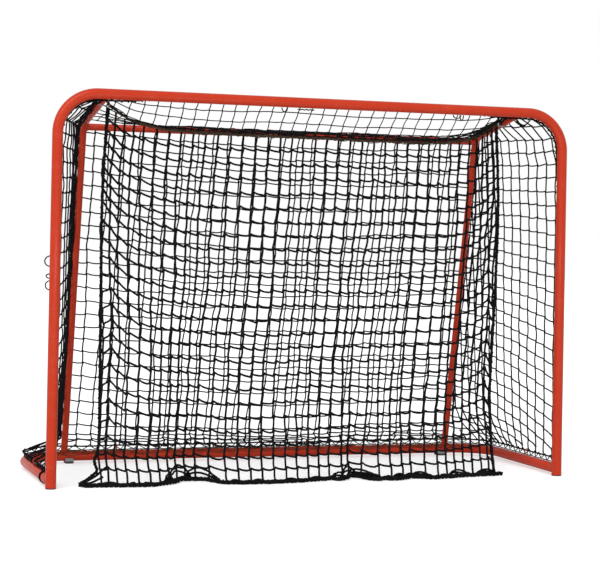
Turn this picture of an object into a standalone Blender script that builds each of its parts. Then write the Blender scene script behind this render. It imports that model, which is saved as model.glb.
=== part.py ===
"""Street hockey goal: a bent steel tube frame, a laced main net and a loose drop net behind the mouth.

Metres, +Z up, with the mouth facing -Y. The origin is on the floor in the middle of the goal's outline.
"""

import math

import bmesh
import bpy
from mathutils import Vector

# Steel frame
MOUTH_WIDTH = 1.600
MOUTH_HEIGHT = 1.150
FLOOR_DEPTH = 0.650
FRAME_TUBE = 0.032
FRAME_WALL = 0.0015
TOP_CORNER_RADIUS = 0.120
BASE_CORNER_RADIUS = 0.140
BASE_LIFT = 0.007
STAY_TUBE = 0.022
STAY_WALL = 0.0015
STAY_INSET = 0.146
STAY_BEND_DEPTH = 0.379
STAY_BEND_DROP = 0.068
STAY_BEND_RADIUS = 0.060

# Feet
PLUG_LIP = 0.003
PLUG_LENGTH = 0.028
PLUG_FINS = 4
PLUG_EDGE = 0.00075
FIN_ROOT = 0.3
FIN_TIP = 0.4
FIN_END = 0.9
PAD_WIDTH = 0.027
PAD_SIDE = 0.006
PAD_EDGE = 0.0015
PAD_GRIP = 0.010
PAD_FROM_STAY = 0.016

# Net eyelets
EYELET_WIRE = 0.003
EYELET_FOOT = 0.8
CROSSBAR_EYELETS = 4
CROSSBAR_EYELET_STEP = 0.300
POST_EYELET_HEIGHTS = (0.350, 0.750)
BASE_EYELETS = 4
BASE_EYELET_STEP = 0.330
SIDE_EYELET_PLACE = 0.250

# Main net
MAIN_CORD = 0.003
BORDER_ROPE = 0.006
BASE_ROPE_LIFT = 0.031
ROOF_VALLEY_DEPTH = 0.073
ROOF_EDGE_POWER = 8
ROOF_COLUMNS = 14
ROOF_FRONT_ROWS = 2
ROOF_REAR_ROWS = 3
SIDE_COLUMNS = 6
NET_ROWS = 11
BACK_COLUMNS = 14

# Drop net
DROP_CORD = 0.005
DROP_ROWS = 12
HEAD_ROPE = 0.008
EDGE_ROPE = 0.012
HEM_ROPE = 0.014
HEM_INSET = 0.055
EDGE_SLACK = 0.002
HEAD_DEPTH_LEFT = 0.105
HEAD_DEPTH_RIGHT = 0.150
HEAD_END = 0.042
HEAD_TAIL = 0.030
TAIL_TURN = 3
TAIL_SHARES = (0.1, 0.2, 0.35, 1)
STRAP_SHARE = 0.6
STRAP_WIDTH = 0.010
STRAP_THICKNESS = 0.0015

# Clearances
JOINT_GAP = 0.0003
NET_GAP = 0.0005
MERGE_GAP = 0.00003

# Sides and steps of the round shapes
FRAME_SIDES = 16
STAY_SIDES = 12
ROPE_SIDES = 8
WIRE_SIDES = 6
BORE_SIDES_FEWER = 4
BEND_STEPS = 7
EYELET_STEPS = 6
PLUG_SIDES = 20
STRAP_SIDES = 20
ROPE_STEP = 0.110
ROPE_TURNS = 5
ROPE_PIECES = 4
SHORT_RUN = 0.0022
TANGENT_REACH = 0.0006

frame_r = FRAME_TUBE / 2
stay_r = STAY_TUBE / 2
rope_r = BORDER_ROPE / 2
post_x = MOUTH_WIDTH / 2 + frame_r
crossbar_z = MOUTH_HEIGHT + frame_r
goal_y = frame_r - FLOOR_DEPTH / 2
base_y = FLOOR_DEPTH / 2 - PAD_SIDE - frame_r
base_z = BASE_LIFT + frame_r
stay_x = post_x - STAY_INSET
bend_y = goal_y + STAY_BEND_DEPTH
bend_z = crossbar_z - STAY_BEND_DROP

RIGHT = Vector((1, 0, 0))
BACK = Vector((0, 1, 0))
UP = Vector((0, 0, 1))


def clear_scene():
    for old in list(bpy.data.objects):
        bpy.data.objects.remove(old, do_unlink=True)


def material(name, colour, roughness, metallic=0.0):
    made = bpy.data.materials.new(name)
    made.use_nodes = True
    made.diffuse_color = (*colour, 1)
    shader = made.node_tree.nodes["Principled BSDF"]
    shader.inputs["Base Color"].default_value = (*colour, 1)
    shader.inputs["Roughness"].default_value = roughness
    shader.inputs["Metallic"].default_value = metallic
    return made


def red_paint(name):
    return material(name + "_paint", (0.60, 0.045, 0.018), 0.32)


def black_cord(name):
    return material(name + "_cord", (0.012, 0.012, 0.013), 0.85)


def rounded(corners, radius):
    """The corner points joined by straight runs, with an arc of this radius at each inner corner."""
    points = [Vector(corners[0])]
    for before, corner, after in zip(corners, corners[1:], corners[2:]):
        corner = Vector(corner)
        into = (corner - Vector(before)).normalized()
        out = (Vector(after) - corner).normalized()
        turn = into.angle(out)
        reach = radius * math.tan(turn / 2)
        centre = corner + (out - into).normalized() * (radius / math.cos(turn / 2))
        start = corner - into * reach - centre
        for step in range(BEND_STEPS + 1):
            angle = turn * step / BEND_STEPS
            points.append(centre + start * math.cos(angle) + into * radius * math.sin(angle))
    points.append(Vector(corners[-1]))
    return points


class Route:
    """A line through points, read by the length travelled along it."""

    def __init__(self, points):
        self.points = [Vector(point) for point in points]
        self.marks = [0.0]
        for a, b in zip(self.points, self.points[1:]):
            self.marks.append(self.marks[-1] + (b - a).length)
        self.length = self.marks[-1]

    def run(self, travelled):
        for index in range(len(self.points) - 2):
            if travelled < self.marks[index + 1]:
                return index
        return len(self.points) - 2

    def at(self, travelled):
        index = self.run(travelled)
        a, b = self.points[index], self.points[index + 1]
        return a + (b - a).normalized() * (travelled - self.marks[index])

    def along(self, travelled):
        return (self.at(travelled + TANGENT_REACH) - self.at(travelled - TANGENT_REACH)).normalized()

    def stops(self, first, last, step):
        """Lengths from first to last: the route's own corners, and between them at most a step apart."""
        inner = [mark for mark in self.marks if first + SHORT_RUN < mark < last - SHORT_RUN]
        fixed = [first, *inner, last]
        found = [first]
        for a, b in zip(fixed, fixed[1:]):
            pieces = max(1, math.ceil((b - a) / step))
            found += [a + (b - a) * piece / pieces for piece in range(1, pieces + 1)]
        return found


def smooth(points, pieces):
    """A smooth curve through hand-chosen points, each span cut into this many pieces."""
    points = [Vector(point) for point in points]
    ends = [2 * points[0] - points[1], *points, 2 * points[-1] - points[-2]]
    found = [points[0]]
    for a, b, c, d in zip(ends, ends[1:], ends[2:], ends[3:]):
        for piece in range(1, pieces + 1):
            t = piece / pieces
            bend = (2 * a - 5 * b + 4 * c - d) * t**2 + (3 * b - a - 3 * c + d) * t**3
            found.append((2 * b + (c - a) * t + bend) / 2)
    return found


def tube_curve(name, points, radius, sides):
    curve = bpy.data.curves.new(name, "CURVE")
    curve.dimensions = "3D"
    curve.resolution_u = 1
    curve.render_resolution_u = 0
    curve.bevel_depth = radius
    curve.bevel_resolution = (sides - 4) // 2
    curve.use_fill_caps = True
    spline = curve.splines.new("POLY")
    spline.points.add(len(points) - 1)
    for point, place in zip(spline.points, points):
        point.co = (*place, 1)
    return curve


def add_object(name, data, finish):
    made = bpy.data.objects.new(name, data)
    bpy.context.scene.collection.objects.link(made)
    if finish:
        data.materials.append(finish)
    return made


def rope(name, points, radius, finish=None, sides=ROPE_SIDES):
    return add_object(name, tube_curve(name, points, radius, sides), finish or black_cord(name))


def solid_tube(name, points, radius, sides, finish=None):
    """A closed mesh tube along points, ready to be cut."""
    curve = tube_curve(name, points, radius, sides)
    pattern = add_object(name + "_route", curve, None)
    mesh = bpy.data.meshes.new_from_object(pattern.evaluated_get(bpy.context.evaluated_depsgraph_get()))
    bpy.data.objects.remove(pattern, do_unlink=True)
    shape = bmesh.new()
    shape.from_mesh(mesh)
    bmesh.ops.remove_doubles(shape, verts=shape.verts, dist=MERGE_GAP)
    bmesh.ops.recalc_face_normals(shape, faces=shape.faces)
    shape.to_mesh(mesh)
    shape.free()
    return add_object(name, mesh, finish)


def cutter(made):
    made.hide_render = True
    made.display_type = "WIRE"
    return made


def cut(piece, *tools):
    for tool in tools:
        step = piece.modifiers.new("cut_" + tool.name, "BOOLEAN")
        step.operation = "DIFFERENCE"
        step.solver = "EXACT"
        step.object = tool


def stretched(points, extra):
    """The same route with both ends moved out along their runs."""
    first = points[0] + (points[0] - points[1]).normalized() * extra
    last = points[-1] + (points[-1] - points[-2]).normalized() * extra
    return [first, *points[1:-1], last]


def hollow_tube(name, points, radius, wall, sides, finish):
    made = solid_tube(name, points, radius, sides, finish)
    run = stretched(points, radius / 2)
    bore = solid_tube(name + "_bore", run, radius - wall, sides - BORE_SIDES_FEWER)
    cut(made, cutter(bore))
    return made


# Routes of the frame's tubes

front_points = rounded(
    [
        (-post_x, goal_y, PLUG_LIP + JOINT_GAP),
        (-post_x, goal_y, crossbar_z),
        (post_x, goal_y, crossbar_z),
        (post_x, goal_y, PLUG_LIP + JOINT_GAP),
    ],
    TOP_CORNER_RADIUS,
)
base_points = rounded(
    [
        (-post_x, goal_y, base_z),
        (-post_x, base_y, base_z),
        (post_x, base_y, base_z),
        (post_x, goal_y, base_z),
    ],
    BASE_CORNER_RADIUS,
)
front_route = Route(front_points)
base_route = Route(base_points)


def stay_points(side):
    x = side * stay_x
    return rounded(
        [(x, goal_y, crossbar_z), (x, bend_y, bend_z), (x, base_y, base_z)],
        STAY_BEND_RADIUS,
    )


arm_slope = STAY_BEND_DROP / STAY_BEND_DEPTH
leg_slope = (base_y - bend_y) / (bend_z - base_z)
leg_half = stay_r * math.hypot(1, leg_slope)
arm_half = stay_r * math.hypot(1, arm_slope)
stay_crown = Route(stay_points(1)[1:-1])
bar_centre = stay_crown.at(stay_crown.length / 2)


def arm_z(y):
    return crossbar_z - (y - goal_y) * arm_slope


def leg_y(z):
    return base_y - (z - base_z) * leg_slope


def build_frame():
    room = frame_r + JOINT_GAP
    paint = red_paint("front_frame")
    hollow_tube("front_frame", front_points, frame_r, FRAME_WALL, FRAME_SIDES, paint)
    front_room = cutter(solid_tube("front_room", stretched(front_points, PLUG_LIP), room, FRAME_SIDES))
    paint = red_paint("base_frame")
    base = hollow_tube("base_frame", base_points, frame_r, FRAME_WALL, FRAME_SIDES, paint)
    base_room = cutter(solid_tube("base_room", base_points, room, FRAME_SIDES))
    cut(base, front_room)
    stay_rooms = []
    for name, side in (("left", -1), ("right", 1)):
        points = stay_points(side)
        stay = hollow_tube("stay_" + name, points, stay_r, STAY_WALL, STAY_SIDES, red_paint("stay_" + name))
        cut(stay, front_room, base_room)
        stay_room = solid_tube("stay_room_" + name, points, stay_r + JOINT_GAP, STAY_SIDES)
        stay_rooms.append(cutter(stay_room))
    ends = [Vector((side * stay_x, bar_centre.y, bar_centre.z)) for side in (-1, 1)]
    bar = hollow_tube("rear_top_bar", ends, stay_r, STAY_WALL, STAY_SIDES, red_paint("rear_top_bar"))
    cut(bar, *stay_rooms)
    return front_room, base_room


# Feet

bore_flat = math.cos(math.pi / (FRAME_SIDES - BORE_SIDES_FEWER))
bore_room = (frame_r - FRAME_WALL) * bore_flat - JOINT_GAP


def plug_profile():
    """Half section of a push-in tube plug: a lip the width of the tube and a barrel with soft fins."""
    core = bore_room - FRAME_WALL
    pitch = (PLUG_LENGTH - PLUG_LIP) / PLUG_FINS
    profile = [(0, 0), (frame_r - PLUG_EDGE, 0), (frame_r, PLUG_EDGE), (frame_r, PLUG_LIP)]
    profile.append((core, PLUG_LIP))
    for fin in range(PLUG_FINS):
        low = PLUG_LIP + fin * pitch
        profile.append((core, low + pitch * FIN_ROOT))
        profile.append((bore_room, low + pitch * FIN_TIP))
        profile.append((core, low + pitch * FIN_END))
    return [*profile, (core, PLUG_LENGTH), (0, PLUG_LENGTH)]


def build_plug(name, x):
    shape = bmesh.new()
    line = [shape.verts.new((x + radius, goal_y, height)) for radius, height in plug_profile()]
    edges = [shape.edges.new(pair) for pair in zip(line, line[1:])]
    bmesh.ops.spin(
        shape,
        geom=line + edges,
        cent=(x, goal_y, 0),
        axis=UP,
        angle=math.tau,
        steps=PLUG_SIDES,
        use_merge=True,
    )
    bmesh.ops.remove_doubles(shape, verts=shape.verts, dist=MERGE_GAP)
    bmesh.ops.recalc_face_normals(shape, faces=shape.faces)
    mesh = bpy.data.meshes.new(name)
    shape.to_mesh(mesh)
    shape.free()
    add_object(name, mesh, material(name + "_plastic", (0.02, 0.02, 0.022), 0.5))


def rounded_edges(shape, edges, reach, segments):
    bmesh.ops.bevel(
        shape,
        geom=edges,
        offset=reach,
        segments=segments,
        affect="EDGES",
        profile=0.5,
        material=-1,
        offset_type="OFFSET",
    )


def build_pad(name, x, base_room):
    """A rubber pad that grips the underside of the rear base tube."""
    shape = bmesh.new()
    bmesh.ops.create_cube(shape, size=1)
    size = Vector((PAD_WIDTH, FRAME_TUBE + 2 * PAD_SIDE, BASE_LIFT + PAD_GRIP))
    bmesh.ops.scale(shape, vec=size, verts=shape.verts)
    bmesh.ops.translate(shape, vec=(x, base_y, size.z / 2), verts=shape.verts)
    middle = size.z / 2
    upright = [edge for edge in shape.edges if abs(edge.verts[0].co.z - edge.verts[1].co.z) > middle]
    rounded_edges(shape, upright, PAD_SIDE, 3)
    above = [edge for edge in shape.edges if min(vert.co.z for vert in edge.verts) > middle]
    rounded_edges(shape, above, PAD_EDGE, 1)
    mesh = bpy.data.meshes.new(name)
    shape.to_mesh(mesh)
    shape.free()
    cut(add_object(name, mesh, material(name + "_rubber", (0.13, 0.13, 0.135), 0.9)), base_room)


# Border ropes and their eyelets

arm_under = math.radians(78)
corner_under = math.radians(50)
left_arm_at = front_route.marks[BEND_STEPS + 1] + (post_x - TOP_CORNER_RADIUS - stay_x)
right_arm_at = front_route.length - left_arm_at
rope_out = frame_r + JOINT_GAP + rope_r
passing = 2 * STAY_TUBE
corner_run = TOP_CORNER_RADIUS * math.pi / 2
inner_turn = [(0, arm_under), (passing, arm_under), (corner_run, 0)]
outer_turn = [(0, arm_under), (passing, arm_under), (corner_run, corner_under), (2 * corner_run, 0)]


def rope_lean(travelled):
    """How far the front border rope has swung from the back of the tube to its inner side."""
    from_arm = min(abs(travelled - left_arm_at), abs(travelled - right_arm_at))
    turn = inner_turn if left_arm_at < travelled < right_arm_at else outer_turn
    for (a, low), (b, high) in zip(turn, turn[1:]):
        if from_arm < b:
            return low + (high - low) * (from_arm - a) / (b - a)
    return 0.0


def rope_turns():
    """Lengths along the front tube where its border rope swings round under the stays' arms."""
    found = []
    for turn, arm, way in (
        (inner_turn, left_arm_at, 1), (outer_turn, left_arm_at, -1),
        (inner_turn, right_arm_at, -1), (outer_turn, right_arm_at, 1),
    ):
        for (a, _), (b, _) in zip(turn[1:], turn[2:]):
            shares = [piece / ROPE_TURNS for piece in range(ROPE_TURNS + 1)]
            found += [arm + way * (a + (b - a) * share) for share in shares]
    return found


def behind_front(travelled, out):
    inward = BACK.cross(front_route.along(travelled))
    lean = rope_lean(travelled)
    return front_route.at(travelled) + (BACK * math.cos(lean) + inward * math.sin(lean)) * out


base_rope_z = base_z + BASE_ROPE_LIFT
base_rope_out = leg_y(base_rope_z) + leg_half + rope_r + JOINT_GAP - base_y
base_rope_start = rope_out + rope_r + JOINT_GAP


def above_base(travelled, lift, out=base_rope_out):
    outward = base_route.along(travelled).cross(UP) * -1
    return base_route.at(travelled) + UP * lift + outward * out


def build_border_ropes():
    front_start = base_z + frame_r + rope_r - front_points[0].z
    stops = front_route.stops(front_start, front_route.length - front_start, ROPE_STEP)
    stops = sorted(stops + rope_turns())
    stops = [b for a, b in zip([-1, *stops], stops) if b - a > rope_r]
    rope("front_border_rope", [behind_front(stop, rope_out) for stop in stops], rope_r)
    stops = base_route.stops(base_rope_start, base_route.length - base_rope_start, ROPE_STEP)
    rope("base_border_rope", [above_base(stop, BASE_ROPE_LIFT) for stop in stops], rope_r)


def build_eyelet(name, tube_point, rope_point, along, room):
    """A wire loop welded to the tube, with the border rope through it."""
    out = (rope_point - tube_point).normalized()
    side = along.cross(out).normalized()
    reach = (rope_point - tube_point).length
    half = rope_r + JOINT_GAP + EYELET_WIRE / 2
    foot = tube_point + out * frame_r * EYELET_FOOT
    points = [foot - side * half]
    for step in range(EYELET_STEPS + 1):
        angle = math.pi * step / EYELET_STEPS
        points.append(tube_point + out * (reach + half * math.sin(angle)) - side * half * math.cos(angle))
    points.append(foot + side * half)
    wire = solid_tube(name, points, EYELET_WIRE / 2, WIRE_SIDES, red_paint(name))
    cut(wire, room)


def even_places(route, count, step):
    """Lengths along a route, a step apart and even about its middle."""
    return [route.length / 2 + (index - (count - 1) / 2) * step for index in range(count)]


def build_eyelets(front_room, base_room):
    front = [
        (f"crossbar_eyelet_{number}", place, RIGHT)
        for number, place in enumerate(even_places(front_route, CROSSBAR_EYELETS, CROSSBAR_EYELET_STEP), 1)
    ]
    for number, height in enumerate(POST_EYELET_HEIGHTS, 1):
        front.append((f"post_eyelet_left_{number}", height, UP))
        front.append((f"post_eyelet_right_{number}", front_route.length - height, UP))
    for name, place, along in front:
        build_eyelet(name, front_route.at(place), behind_front(place, rope_out), along, front_room)
    base = [
        (f"base_eyelet_{number}", place, RIGHT)
        for number, place in enumerate(even_places(base_route, BASE_EYELETS, BASE_EYELET_STEP), 1)
    ]
    base.append(("side_eyelet_left", SIDE_EYELET_PLACE, BACK))
    base.append(("side_eyelet_right", base_route.length - SIDE_EYELET_PLACE, BACK))
    for name, place, along in base:
        build_eyelet(name, base_route.at(place), above_base(place, BASE_ROPE_LIFT), along, base_room)


# Nets

def net(name, columns, rows, place, cord):
    """A net of square-knotted cord: a grid of points whose edges become the cords."""
    shape = bmesh.new()
    grid = [[shape.verts.new(place(i / columns, row)) for i in range(columns + 1)] for row in rows]
    for upper, lower in zip(grid, grid[1:]):
        for a, b, c, d in zip(upper, upper[1:], lower[1:], lower):
            shape.faces.new((a, d, c, b))
    mesh = bpy.data.meshes.new(name)
    shape.to_mesh(mesh)
    shape.free()
    made = add_object(name, mesh, black_cord(name))
    strands = made.modifiers.new("strands", "WIREFRAME")
    strands.thickness = cord
    strands.use_even_offset = True
    strands.use_boundary = True
    strands.use_replace = True


def even(rows):
    return [row / rows for row in range(rows + 1)]


def patch(top, bottom, left, right):
    """A surface between four edges, each a function of 0 to 1."""

    def place(u, v):
        across = top(u).lerp(bottom(u), v) + left(v).lerp(right(v), u)
        return across - top(0).lerp(top(1), u).lerp(bottom(0).lerp(bottom(1), u), v)

    return place


strap_room = STRAP_THICKNESS + 2 * JOINT_GAP
net_half = MAIN_CORD / 2
net_room = net_half + NET_GAP
crown = rope_r + JOINT_GAP + EYELET_WIRE
side_net_x = stay_x + stay_r + strap_room + net_half
roof_front_y = goal_y + rope_out + crown + net_room
roof_rear_y = bar_centre.y
roof_rear_z = bar_centre.z + stay_r + net_room


def head_y(x):
    share = (x + stay_x) / (2 * stay_x)
    return goal_y + HEAD_DEPTH_LEFT + (HEAD_DEPTH_RIGHT - HEAD_DEPTH_LEFT) * share


def roof_z(x, y):
    """Height of the roof net: tied at the crossbar and rear bar, held down in a valley by the drop net."""
    valley = (head_y(x) - roof_front_y) / (roof_rear_y - roof_front_y)
    share = (y - roof_front_y) / (roof_rear_y - roof_front_y)
    straight = crossbar_z + (roof_rear_z - crossbar_z) * share
    sunk = straight - ROOF_VALLEY_DEPTH * min(share / valley, (1 - share) / (1 - valley))
    over_arm = arm_z(y) + arm_half + strap_room + net_half
    edge = abs(x / stay_x) ** ROOF_EDGE_POWER
    return sunk * (1 - edge) + over_arm * edge


def column_x(column):
    return (2 * column / ROOF_COLUMNS - 1) * stay_x


def valley_point(x):
    """A point on the roof net's valley, which runs straight from column to column."""
    place = (x / stay_x + 1) / 2 * ROOF_COLUMNS
    column = min(int(place), ROOF_COLUMNS - 1)
    ends = [column_x(column), column_x(column + 1)]
    a, b = (Vector((end, head_y(end), roof_z(end, head_y(end)))) for end in ends)
    return a.lerp(b, place - column)


def build_roof_net():
    rows = [row / ROOF_FRONT_ROWS for row in range(ROOF_FRONT_ROWS)]
    rows += [1 + row / ROOF_REAR_ROWS for row in range(ROOF_REAR_ROWS + 1)]

    def place(u, row):
        x = (2 * u - 1) * stay_x
        front, valley = roof_front_y, head_y(x)
        y = front + (valley - front) * row if row < 1 else valley + (roof_rear_y - valley) * (row - 1)
        return Vector((x, y, roof_z(x, y)))

    net("roof_net", ROOF_COLUMNS, rows, place, MAIN_CORD)


def build_back_net():
    foot_z = base_rope_z + crown + net_room
    back_x = stay_x + stay_r / 2
    skin = leg_half + net_room

    def edge(u, z, y):
        return Vector(((2 * u - 1) * back_x, y, z))

    top_y = leg_y(bend_z) + skin
    low_y = base_y + base_rope_out
    net(
        "back_net",
        BACK_COLUMNS,
        even(NET_ROWS),
        lambda u, v: edge(u, bend_z, top_y).lerp(edge(u, foot_z, low_y), v),
        MAIN_CORD,
    )


def build_side_net(name, side):
    front_out = rope_out + crown + net_room
    lift = BASE_ROPE_LIFT + crown + net_room
    corner_at = left_arm_at - (side_net_x - stay_x)
    post_low = base_z + lift - front_points[0].z
    rear_at = base_route.length / 2 - side_net_x

    def placed(point):
        return Vector((-side * point.x, point.y, point.z))

    low_rear = above_base(rear_at, lift)
    low_front = above_base(base_rope_start, lift)
    high_front = behind_front(corner_at, front_out)
    high_rear = Vector((-side_net_x, bend_y, bend_z))

    def top(u):
        if u == 1:
            return high_front
        y = bend_y + (high_front.y - bend_y) * u
        return Vector((-side_net_x, y, arm_z(y)))

    def front(v):
        if v == 1:
            return low_front
        return behind_front(corner_at + (post_low - corner_at) * v, front_out)

    surface = patch(
        top,
        lambda u: low_rear if u == 0 else above_base(rear_at + (base_rope_start - rear_at) * u, lift),
        lambda v: high_rear.lerp(low_rear, v),
        front,
    )
    net(name, SIDE_COLUMNS, even(NET_ROWS), lambda u, v: placed(surface(u, v)), MAIN_CORD)


# Drop net: hand-chosen points, all as shares. A hem point is its share of the way from the middle to a stay,
# and its depth behind the goal plane as a share of the floor depth. An edge point is its distance in from the
# stay and its depth, both as shares of the floor depth, and its height as a share of the crossbar's height.

HEM_POINTS = [
    (-1.091, 0.0338), (-1.030, 0.0031), (-0.910, 0.0), (-0.737, -0.0015), (-0.552, 0.0062), (-0.299, 0.0400),
    (-0.097, 0.0015), (0.146, 0.0), (0.403, 0.0031), (0.606, 0.0092), (0.806, 0.0769), (0.978, 0.0954),
]
LEFT_EDGE_POINTS = [
    (0.0123, 0.1415, 0.7290), (0.0062, 0.0985, 0.4803), (0.0015, 0.0554, 0.2230), (-0.0062, 0.0431, 0.1029),
    (-0.0369, 0.0369, 0.0472),
]
RIGHT_EDGE_POINTS = [
    (0.0246, 0.2092, 0.7290), (0.0462, 0.1846, 0.4803), (0.0708, 0.1538, 0.2230), (0.0677, 0.1385, 0.1029),
    (0.0523, 0.1200, 0.0472),
]
head_r = HEAD_ROPE / 2
edge_r = EDGE_ROPE / 2
hem_r = HEM_ROPE / 2
head_end_x = stay_x - HEAD_END
hem_z = hem_r + JOINT_GAP


def lowered(points, drop):
    """The line moved down by this distance, square to its own runs."""
    runs = [(b - a).normalized() for a, b in zip(points, points[1:])]
    found = []
    for point, into, out in zip(points, [runs[0], *runs], [*runs, runs[-1]]):
        down = (BACK.cross(into) + BACK.cross(out)).normalized()
        found.append(point + down * drop / math.cos(into.angle(out, 0) / 2))
    return found


def under_roof(end_x, drop):
    """A line under the roof's valley, with a point at each of the roof net's columns."""
    stations = [-end_x, *[column_x(column) for column in range(1, ROOF_COLUMNS)], end_x]
    return lowered([valley_point(x) for x in stations], drop)


head_line = under_roof(head_end_x, net_half + JOINT_GAP + head_r)


def behind_goal(x, depth, z):
    return Vector((x, goal_y + depth, z))


hem_points = [behind_goal(share * stay_x, depth * FLOOR_DEPTH, hem_z) for share, depth in HEM_POINTS]
hem_route = Route(smooth(hem_points, ROPE_PIECES))


def edge_points(side, chosen):
    top = (head_line[0] if side < 0 else head_line[-1]) - UP * (head_r + 2 * NET_GAP + JOINT_GAP)
    top.x += side * edge_r
    hem_end = hem_route.points[0] if side < 0 else hem_route.points[-1]
    low = hem_end + Vector((-side * hem_r, 0, hem_r + JOINT_GAP + edge_r))
    hung = []
    for inset, depth, height in chosen:
        x = side * (stay_x - inset * FLOOR_DEPTH)
        hung.append(behind_goal(x, depth * FLOOR_DEPTH, height * crossbar_z))
    return smooth([top, *hung, low], ROPE_PIECES)


def build_drop_net():
    left = Route(edge_points(-1, LEFT_EDGE_POINTS))
    right = Route(edge_points(1, RIGHT_EDGE_POINTS))
    beside = edge_r + EDGE_SLACK + DROP_CORD / 2
    above = UP * (hem_r + NET_GAP + DROP_CORD / 2)
    inset = HEM_INSET / hem_route.length
    under = net_half + JOINT_GAP + HEAD_ROPE + NET_GAP + DROP_CORD / 2
    net_line = under_roof(head_end_x - beside, under)

    def top(u):
        return net_line[round(u * ROOF_COLUMNS)]

    def bottom(u):
        return hem_route.at(hem_route.length * (inset + (1 - 2 * inset) * u)) + above

    def beside_rope(rope_route, side, first, last):
        def edge(v):
            if v in (0, 1):
                return (first, last)[int(v)]
            travelled = rope_route.length * v
            inward = rope_route.along(travelled).cross(BACK) * -side
            return rope_route.at(travelled) + inward.normalized() * beside

        return edge

    surface = patch(
        top,
        bottom,
        beside_rope(left, -1, top(0), bottom(0)),
        beside_rope(right, 1, top(1), bottom(1)),
    )
    net("drop_net", ROOF_COLUMNS, even(DROP_ROWS), surface, DROP_CORD)
    rope("drop_edge_rope_left", left.points, edge_r)
    rope("drop_edge_rope_right", right.points, edge_r)
    rope("drop_hem_rope", hem_route.points, hem_r)


def tail_point(side, share):
    """The head rope's tail turns forward through its strap, from share 0 at the turn to 1 at its end."""
    corner = head_line[0] if side < 0 else head_line[-1]
    turned = min(1, share * TAIL_TURN)
    forward = share * HEAD_TAIL
    across = side * HEAD_ROPE * math.sin(turned * math.pi / 2)
    return corner + Vector((across, -forward, forward * arm_slope))


def build_head_rope():
    left_tail = [tail_point(-1, share) for share in reversed(TAIL_SHARES)]
    right_tail = [tail_point(1, share) for share in TAIL_SHARES]
    rope("drop_head_rope", [*left_tail, *head_line[1:-1], *right_tail], head_r)


def hull_ring(circles, steps):
    """Points of the tight loop round circles, each (x, z, radius), at even turns of the way out."""
    ring = []
    for step in range(steps):
        angle = math.tau * (step + 0.5) / steps
        out = Vector((math.cos(angle), math.sin(angle)))
        x, z, radius = max(circles, key=lambda circle: circle[0] * out.x + circle[1] * out.y + circle[2])
        ring.append((x + radius * out.x, z + radius * out.y))
    return ring


def build_strap(name, side):
    """A webbing strap round the stay's arm, with the head rope's tail through its lower end."""
    tail = tail_point(side, STRAP_SHARE)
    arm = (side * stay_x, arm_z(tail.y), arm_half)
    held = (tail.x, tail.z, head_r)
    shape = bmesh.new()
    loops = []
    for depth in (-STRAP_WIDTH / 2, STRAP_WIDTH / 2):
        for grow in (JOINT_GAP, JOINT_GAP + STRAP_THICKNESS):
            flat = math.cos(math.pi / STRAP_SIDES)
            ring = hull_ring([(x, z, (radius + grow) / flat) for x, z, radius in (arm, held)], STRAP_SIDES)
            drop = -arm_slope * depth
            loops.append([shape.verts.new((x, tail.y + depth, z + drop)) for x, z in ring])
    inner_front, outer_front, inner_back, outer_back = loops
    around = [outer_front, inner_front, inner_back, outer_back, outer_front]
    for a, b in zip(around, around[1:]):
        for i in range(len(a)):
            j = (i + 1) % len(a)
            shape.faces.new((a[i], a[j], b[j], b[i]))
    bmesh.ops.recalc_face_normals(shape, faces=shape.faces)
    mesh = bpy.data.meshes.new(name)
    shape.to_mesh(mesh)
    shape.free()
    add_object(name, mesh, material(name + "_webbing", (0.45, 0.44, 0.43), 0.8))


def shade():
    for made in bpy.data.objects:
        if made.type == "MESH":
            made.data.shade_smooth()
            made.data.set_sharp_from_angle(angle=math.radians(40))


def main():
    clear_scene()
    front_room, base_room = build_frame()
    for name, side in (("left", -1), ("right", 1)):
        build_plug("post_plug_" + name, side * post_x)
        build_pad("rear_pad_" + name, side * (stay_x - PAD_FROM_STAY), base_room)
    build_border_ropes()
    build_eyelets(front_room, base_room)
    build_roof_net()
    build_back_net()
    build_side_net("side_net_left", -1)
    build_side_net("side_net_right", 1)
    build_drop_net()
    build_head_rope()
    build_strap("corner_strap_left", -1)
    build_strap("corner_strap_right", 1)
    shade()


main()
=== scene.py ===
"""Dresses the street hockey goal: gloss painted tubes, twisted cord nets, laid ropes, plugs and pads.

Metres, +Z up, with the mouth facing -Y. Sizes with the same names as in the model's source have the
same values.
"""

import math
import random

import bmesh
import bpy
import numpy as np
from mathutils import Matrix, Vector, noise


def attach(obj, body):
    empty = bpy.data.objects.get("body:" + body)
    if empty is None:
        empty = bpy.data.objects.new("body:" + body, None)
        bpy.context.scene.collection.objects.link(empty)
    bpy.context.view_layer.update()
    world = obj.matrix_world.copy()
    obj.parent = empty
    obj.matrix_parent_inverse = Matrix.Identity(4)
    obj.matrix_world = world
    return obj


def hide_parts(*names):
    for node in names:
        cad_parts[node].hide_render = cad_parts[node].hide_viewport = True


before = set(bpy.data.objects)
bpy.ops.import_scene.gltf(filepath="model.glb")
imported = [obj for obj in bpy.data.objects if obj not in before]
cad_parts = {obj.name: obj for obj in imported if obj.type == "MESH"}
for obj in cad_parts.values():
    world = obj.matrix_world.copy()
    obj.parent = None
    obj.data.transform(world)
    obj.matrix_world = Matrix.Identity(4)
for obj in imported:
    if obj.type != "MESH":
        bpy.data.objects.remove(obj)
noise.seed_set(3)
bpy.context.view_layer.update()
scene = bpy.context.scene

BACK = Vector((0, 1, 0))
RIGHT = Vector((1, 0, 0))
UP = Vector((0, 0, 1))
SIDES = (("left", -1), ("right", 1))

# Camera at the photograph's place

CAMERA_PLACE = Vector((-1.7270, -5.6431, 0.7352))
CAMERA_YAW = math.radians(19.19)
CAMERA_PITCH = math.radians(0.46)
CAMERA_ROLL = math.radians(1.07)
CAMERA_FOCUS = 1818.2 / 600
CAMERA_SHIFT = -60 / 600


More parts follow.
